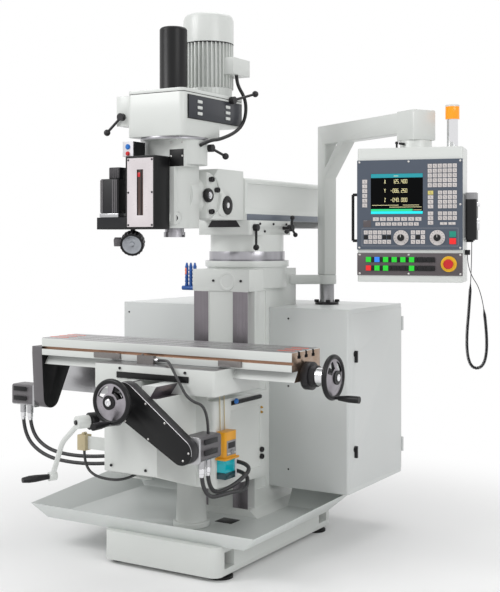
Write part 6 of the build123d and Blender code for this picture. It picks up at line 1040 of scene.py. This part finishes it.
wear(cast("control_keys", "key_bank", 0.0006, "pendant", "key_plastic"), KEY_PALE,
     (GREEN_KEY, lambda c, n: key_colour(c) == "green"),
     (BLUE_KEY, lambda c, n: key_colour(c) == "blue"),
     (RED_KEY, lambda c, n: key_colour(c) in ("red", "stop")),
     (TEAL_KEY, lambda c, n: key_colour(c) == "start"),
     (KEY_YELLOW, lambda c, n: key_colour(c) == "yellow"),
     (BLACK_PLASTIC, lambda c, n: key_colour(c) == "dark"))
mark = joined("key_mark", [slab("mark_high", (-0.0040, -0.1199, 0.0012), (0.0022, -0.1194, 0.0032), 0),
                           slab("mark_low", (-0.0012, -0.1199, -0.0034), (0.0040, -0.1194, -0.0016), 0)])
print_places = []
for left, right, low, high, columns, rows in KEY_BLOCKS:
    for number in range(columns * rows):
        across, up = on_face(left + (number % columns + 0.5) * (right - left) / columns,
                             low + (number // columns + 0.5) * (high - low) / rows)
        if key_colour(PENDANT @ Vector((across, KEY_FRONT, up))) in ("pale", "yellow"):
            print_places.append(PENDANT @ Matrix.Translation((across, 0, up)))
spread("key_marks", mark, print_places, KEY_MARK, "pendant", "face_slate")
beside = slab("button_holder", (0.0118, -0.1200, -0.0110), (0.0245, -0.1150, 0.0110), 0.0008)
spread("button_holders", beside, [PENDANT @ Matrix.Translation((ROW_LEFT + BUTTON_PITCH * (k % 8 + 0.5), 0,
       ROW_LOW + ROW_PITCH * (k // 8 + 0.5))) for k in range(16)], BLACK_PLASTIC, "pendant",
       "black_plastic")
wear(cast("operator_panel", "button_panel", 0.001, "pendant", "panel_brown"), PANEL_BROWN,
     (YELLOW_PLASTIC, lambda c, n: (HOME @ c).y < -0.1153
      and hypot((HOME @ c).x - 0.1589, c.z - 1.3587) < 0.0345))
screw_places = [(u, PANEL_FRONT, z) for z in (1.3980, 1.3155) for u in (0.025, 0.494, 0.977)]
screw_places += [(u, FACE_FRONT, 1.8060) for u in (0.022, 0.494, 0.978)]
screw_places += [(0.978, FACE_FRONT, 1.6170), (0.022, FACE_FRONT, 1.4290), (0.978, FACE_FRONT, 1.4290)]
spread("panel_screws", pan_screw, [PENDANT @ facing((FACE_LEFT + FACE_WIDTH * u, v, z), FRONT)
       for u, v, z in screw_places], PALE_SCREW, "pendant", "chrome")
left, low = on_face(0.048, 0.041)
right, high = on_face(0.958, 0.239)
corners = ((left, low), (right, low), (right, high), (left, high))
outline = [bar("outline_%d" % k, corners[k], corners[(k + 1) % 4], 0.0012, *FACE_PRINT) for k in range(4)]
put(on_pendant(joined("key_outline", outline)), LINE_GREY, "pendant", "face_slate")
put(on_pendant(slab("card_cover", (-0.2160, -0.1182, 1.5190), (-0.1810, -0.1168, 1.5500), 0.0006)),
    PANEL_BROWN, "pendant", "face_slate")
put(on_pendant(slab("card_hinge", (-0.2140, -0.1187, 1.5470), (-0.1990, -0.1180, 1.5485), 0)), LINE_GREY,
    "pendant", "face_slate")

# The screen's picture: bars and generic figures
for name, low, right, high, finish in (("screen_head", 1.7365, 0.0460, 1.7540, SCREEN_TEAL),
                                       ("screen_row_green", 1.5900, 0.0020, 1.5990, SCREEN_GREEN),
                                       ("screen_row_cyan", 1.5775, 0.0460, 1.5895, SCREEN_CYAN)):
    picture = slab(name, (-0.1820, SCREEN_PRINT[0], low), (right, SCREEN_PRINT[1], high), 0)
    put(on_pendant(picture), finish, "pendant", "screen_glass")
SEGMENTS = {"a": ((0, 2), (1, 2)), "b": ((1, 1), (1, 2)), "c": ((1, 0), (1, 1)), "d": ((0, 0), (1, 0)),
            "e": ((0, 0), (0, 1)), "f": ((0, 1), (0, 2)), "g": ((0, 1), (1, 1)), "h": ((0, 0), (1, 2)),
            "i": ((0, 2), (1, 0)), "j": ((0, 2), (0.5, 1)), "k": ((1, 2), (0.5, 1)),
            "l": ((0.5, 0), (0.5, 1)), "m": ((0.4, 0), (0.6, 0))}
FIGURES = {"0": "abcdef", "1": "bc", "2": "abged", "4": "fgbc", "5": "afgcd", "6": "afgedc", "8": "abcdefg",
           "-": "g", ".": "m", "X": "hi", "Y": "jkl", "Z": "ahd", " ": ""}
FIGURE_LEFT, FIGURE_PITCH, FIGURE_WIDTH = -0.1225, 0.0094, 0.0060
LINE_TOP, LINE_PITCH, FIGURE_HALF = 1.7120, 0.0405, 0.0080
strokes = []
for line, text in enumerate(("X   125.400", "Y  -086.250", "Z  -040.000")):
    for place, sign in enumerate(text):
        for segment in FIGURES[sign]:
            start, end = [(FIGURE_LEFT + FIGURE_PITCH * place + FIGURE_WIDTH * u,
                           LINE_TOP - LINE_PITCH * line + FIGURE_HALF * z) for u, z in SEGMENTS[segment]]
            strokes.append(bar("stroke_%d" % len(strokes), start, end, 0.0010, *SCREEN_PRINT))
for start, end, up in ((-0.176, -0.060, 1.6160), (-0.040, 0.030, 1.6160), (-0.100, 0.040, 1.6075),
                       (-0.080, -0.062, 1.7440), (0.006, 0.040, 1.5945)):
    strokes.append(bar("stroke_%d" % len(strokes), (start, up), (end, up), 0.0012, *SCREEN_RULE))
put(on_pendant(joined("screen_figures", strokes)), SCREEN_CREAM, "pendant", "screen_glass")

# Dials, swivel clamps, beacon and pulse unit
tick = slab("dial_tick", (-0.0007, -0.1228, 0.0245), (0.0007, -0.1222, 0.0305), 0)
for solid, name, body, share in (("feed_knob", "feed_dial_knob", "feed_dial", 0.424),
                                 ("speed_knob", "speed_dial_knob", "speed_dial", 0.766)):
    wear(cast(solid, name, 0.0008, body, "key_plastic"), KEY_PALE,
         (BLACK_PLASTIC, lambda c, n: (HOME @ c).y < -0.1226))
    across, up = on_face(share, 0.133)
    spread(name + "_ticks", tick, [PENDANT @ Matrix.Translation((across, 0, up))
           @ Matrix.Rotation(radians(24 * k), 4, "Y") for k in range(-6, 7)], KEY_MARK, body, "face_slate")
    pointer = slab(name + "_pointer", (-0.0010, -0.1368, 0.0020), (0.0010, -0.1360, 0.0140), 0)
    put(settle(pointer, PENDANT @ Matrix.Translation((across, 0, up))), LENS_CAP, body, "key_plastic")
clamp_post = rod("clamp_post", (-0.080, -0.040, 1.8690), (-0.080, -0.040, 1.890), 0.0045, 0.0008, 16)
clamp_ball = turned("clamp_ball", ((0.004, 0), (0.0075, 0.004), (0.0075, 0.009), (0.004, 0.013)),
                    (-0.080, -0.040, 1.8890), UP, 18)
clamp_arm = rod("clamp_arm", (-0.042, -0.058, 1.888), (-0.066, -0.066, 1.891), 0.0055, 0.001, 16)
put(on_pendant(joined("swivel_clamps", [clamp_post, clamp_ball, clamp_arm])), BLACK_PLASTIC, "pendant",
    "black_plastic")
beacon_post = cast("beacon", "beacon_post", 0.002, "pendant", "amber")
scored(beacon_post, ((0, 0, 2.0525), (0, 0, 1)))
wear(beacon_post, CHROME, (AMBER_LENS, lambda c, n: c.z > 1.9965), (LENS_CAP, lambda c, n: c.z > 2.0525))
pulse_box = cast("pulse_unit", "pulse_box", 0.002, "pendant", "black_plastic")
scored(pulse_box, ((0, 0, 1.640), (0, 0, 1)))
wear(pulse_box, BLACK_PLASTIC, (GREY_PLASTIC, lambda c, n: c.z > 1.640 or (HOME @ c).x < 0.2255),
     (CHROME, lambda c, n: (HOME @ c).x > 0.2755))
curly_cable("pulse_cord", [PENDANT @ Vector(p) for p in ((0.250, -0.049, 1.4637), (0.250, -0.049, 1.300),
            (0.216, -0.049, 0.905), (0.324, -0.049, 0.905), (0.298, -0.030, 1.230), (0.229, -0.021, 1.330),
            (0.229, -0.021, 1.3977))], 0.0034, 0.0056, 0.0046, (0.17, 0.78), CORD_BLACK, "pendant",
            "cord_rubber", "pulse_unit_cord")
for model in (cap_screw, pan_screw, wide_bolt, nipple, rib, short_rib, hood, fin, mark, beside, tick):
    bpy.data.objects.remove(model)
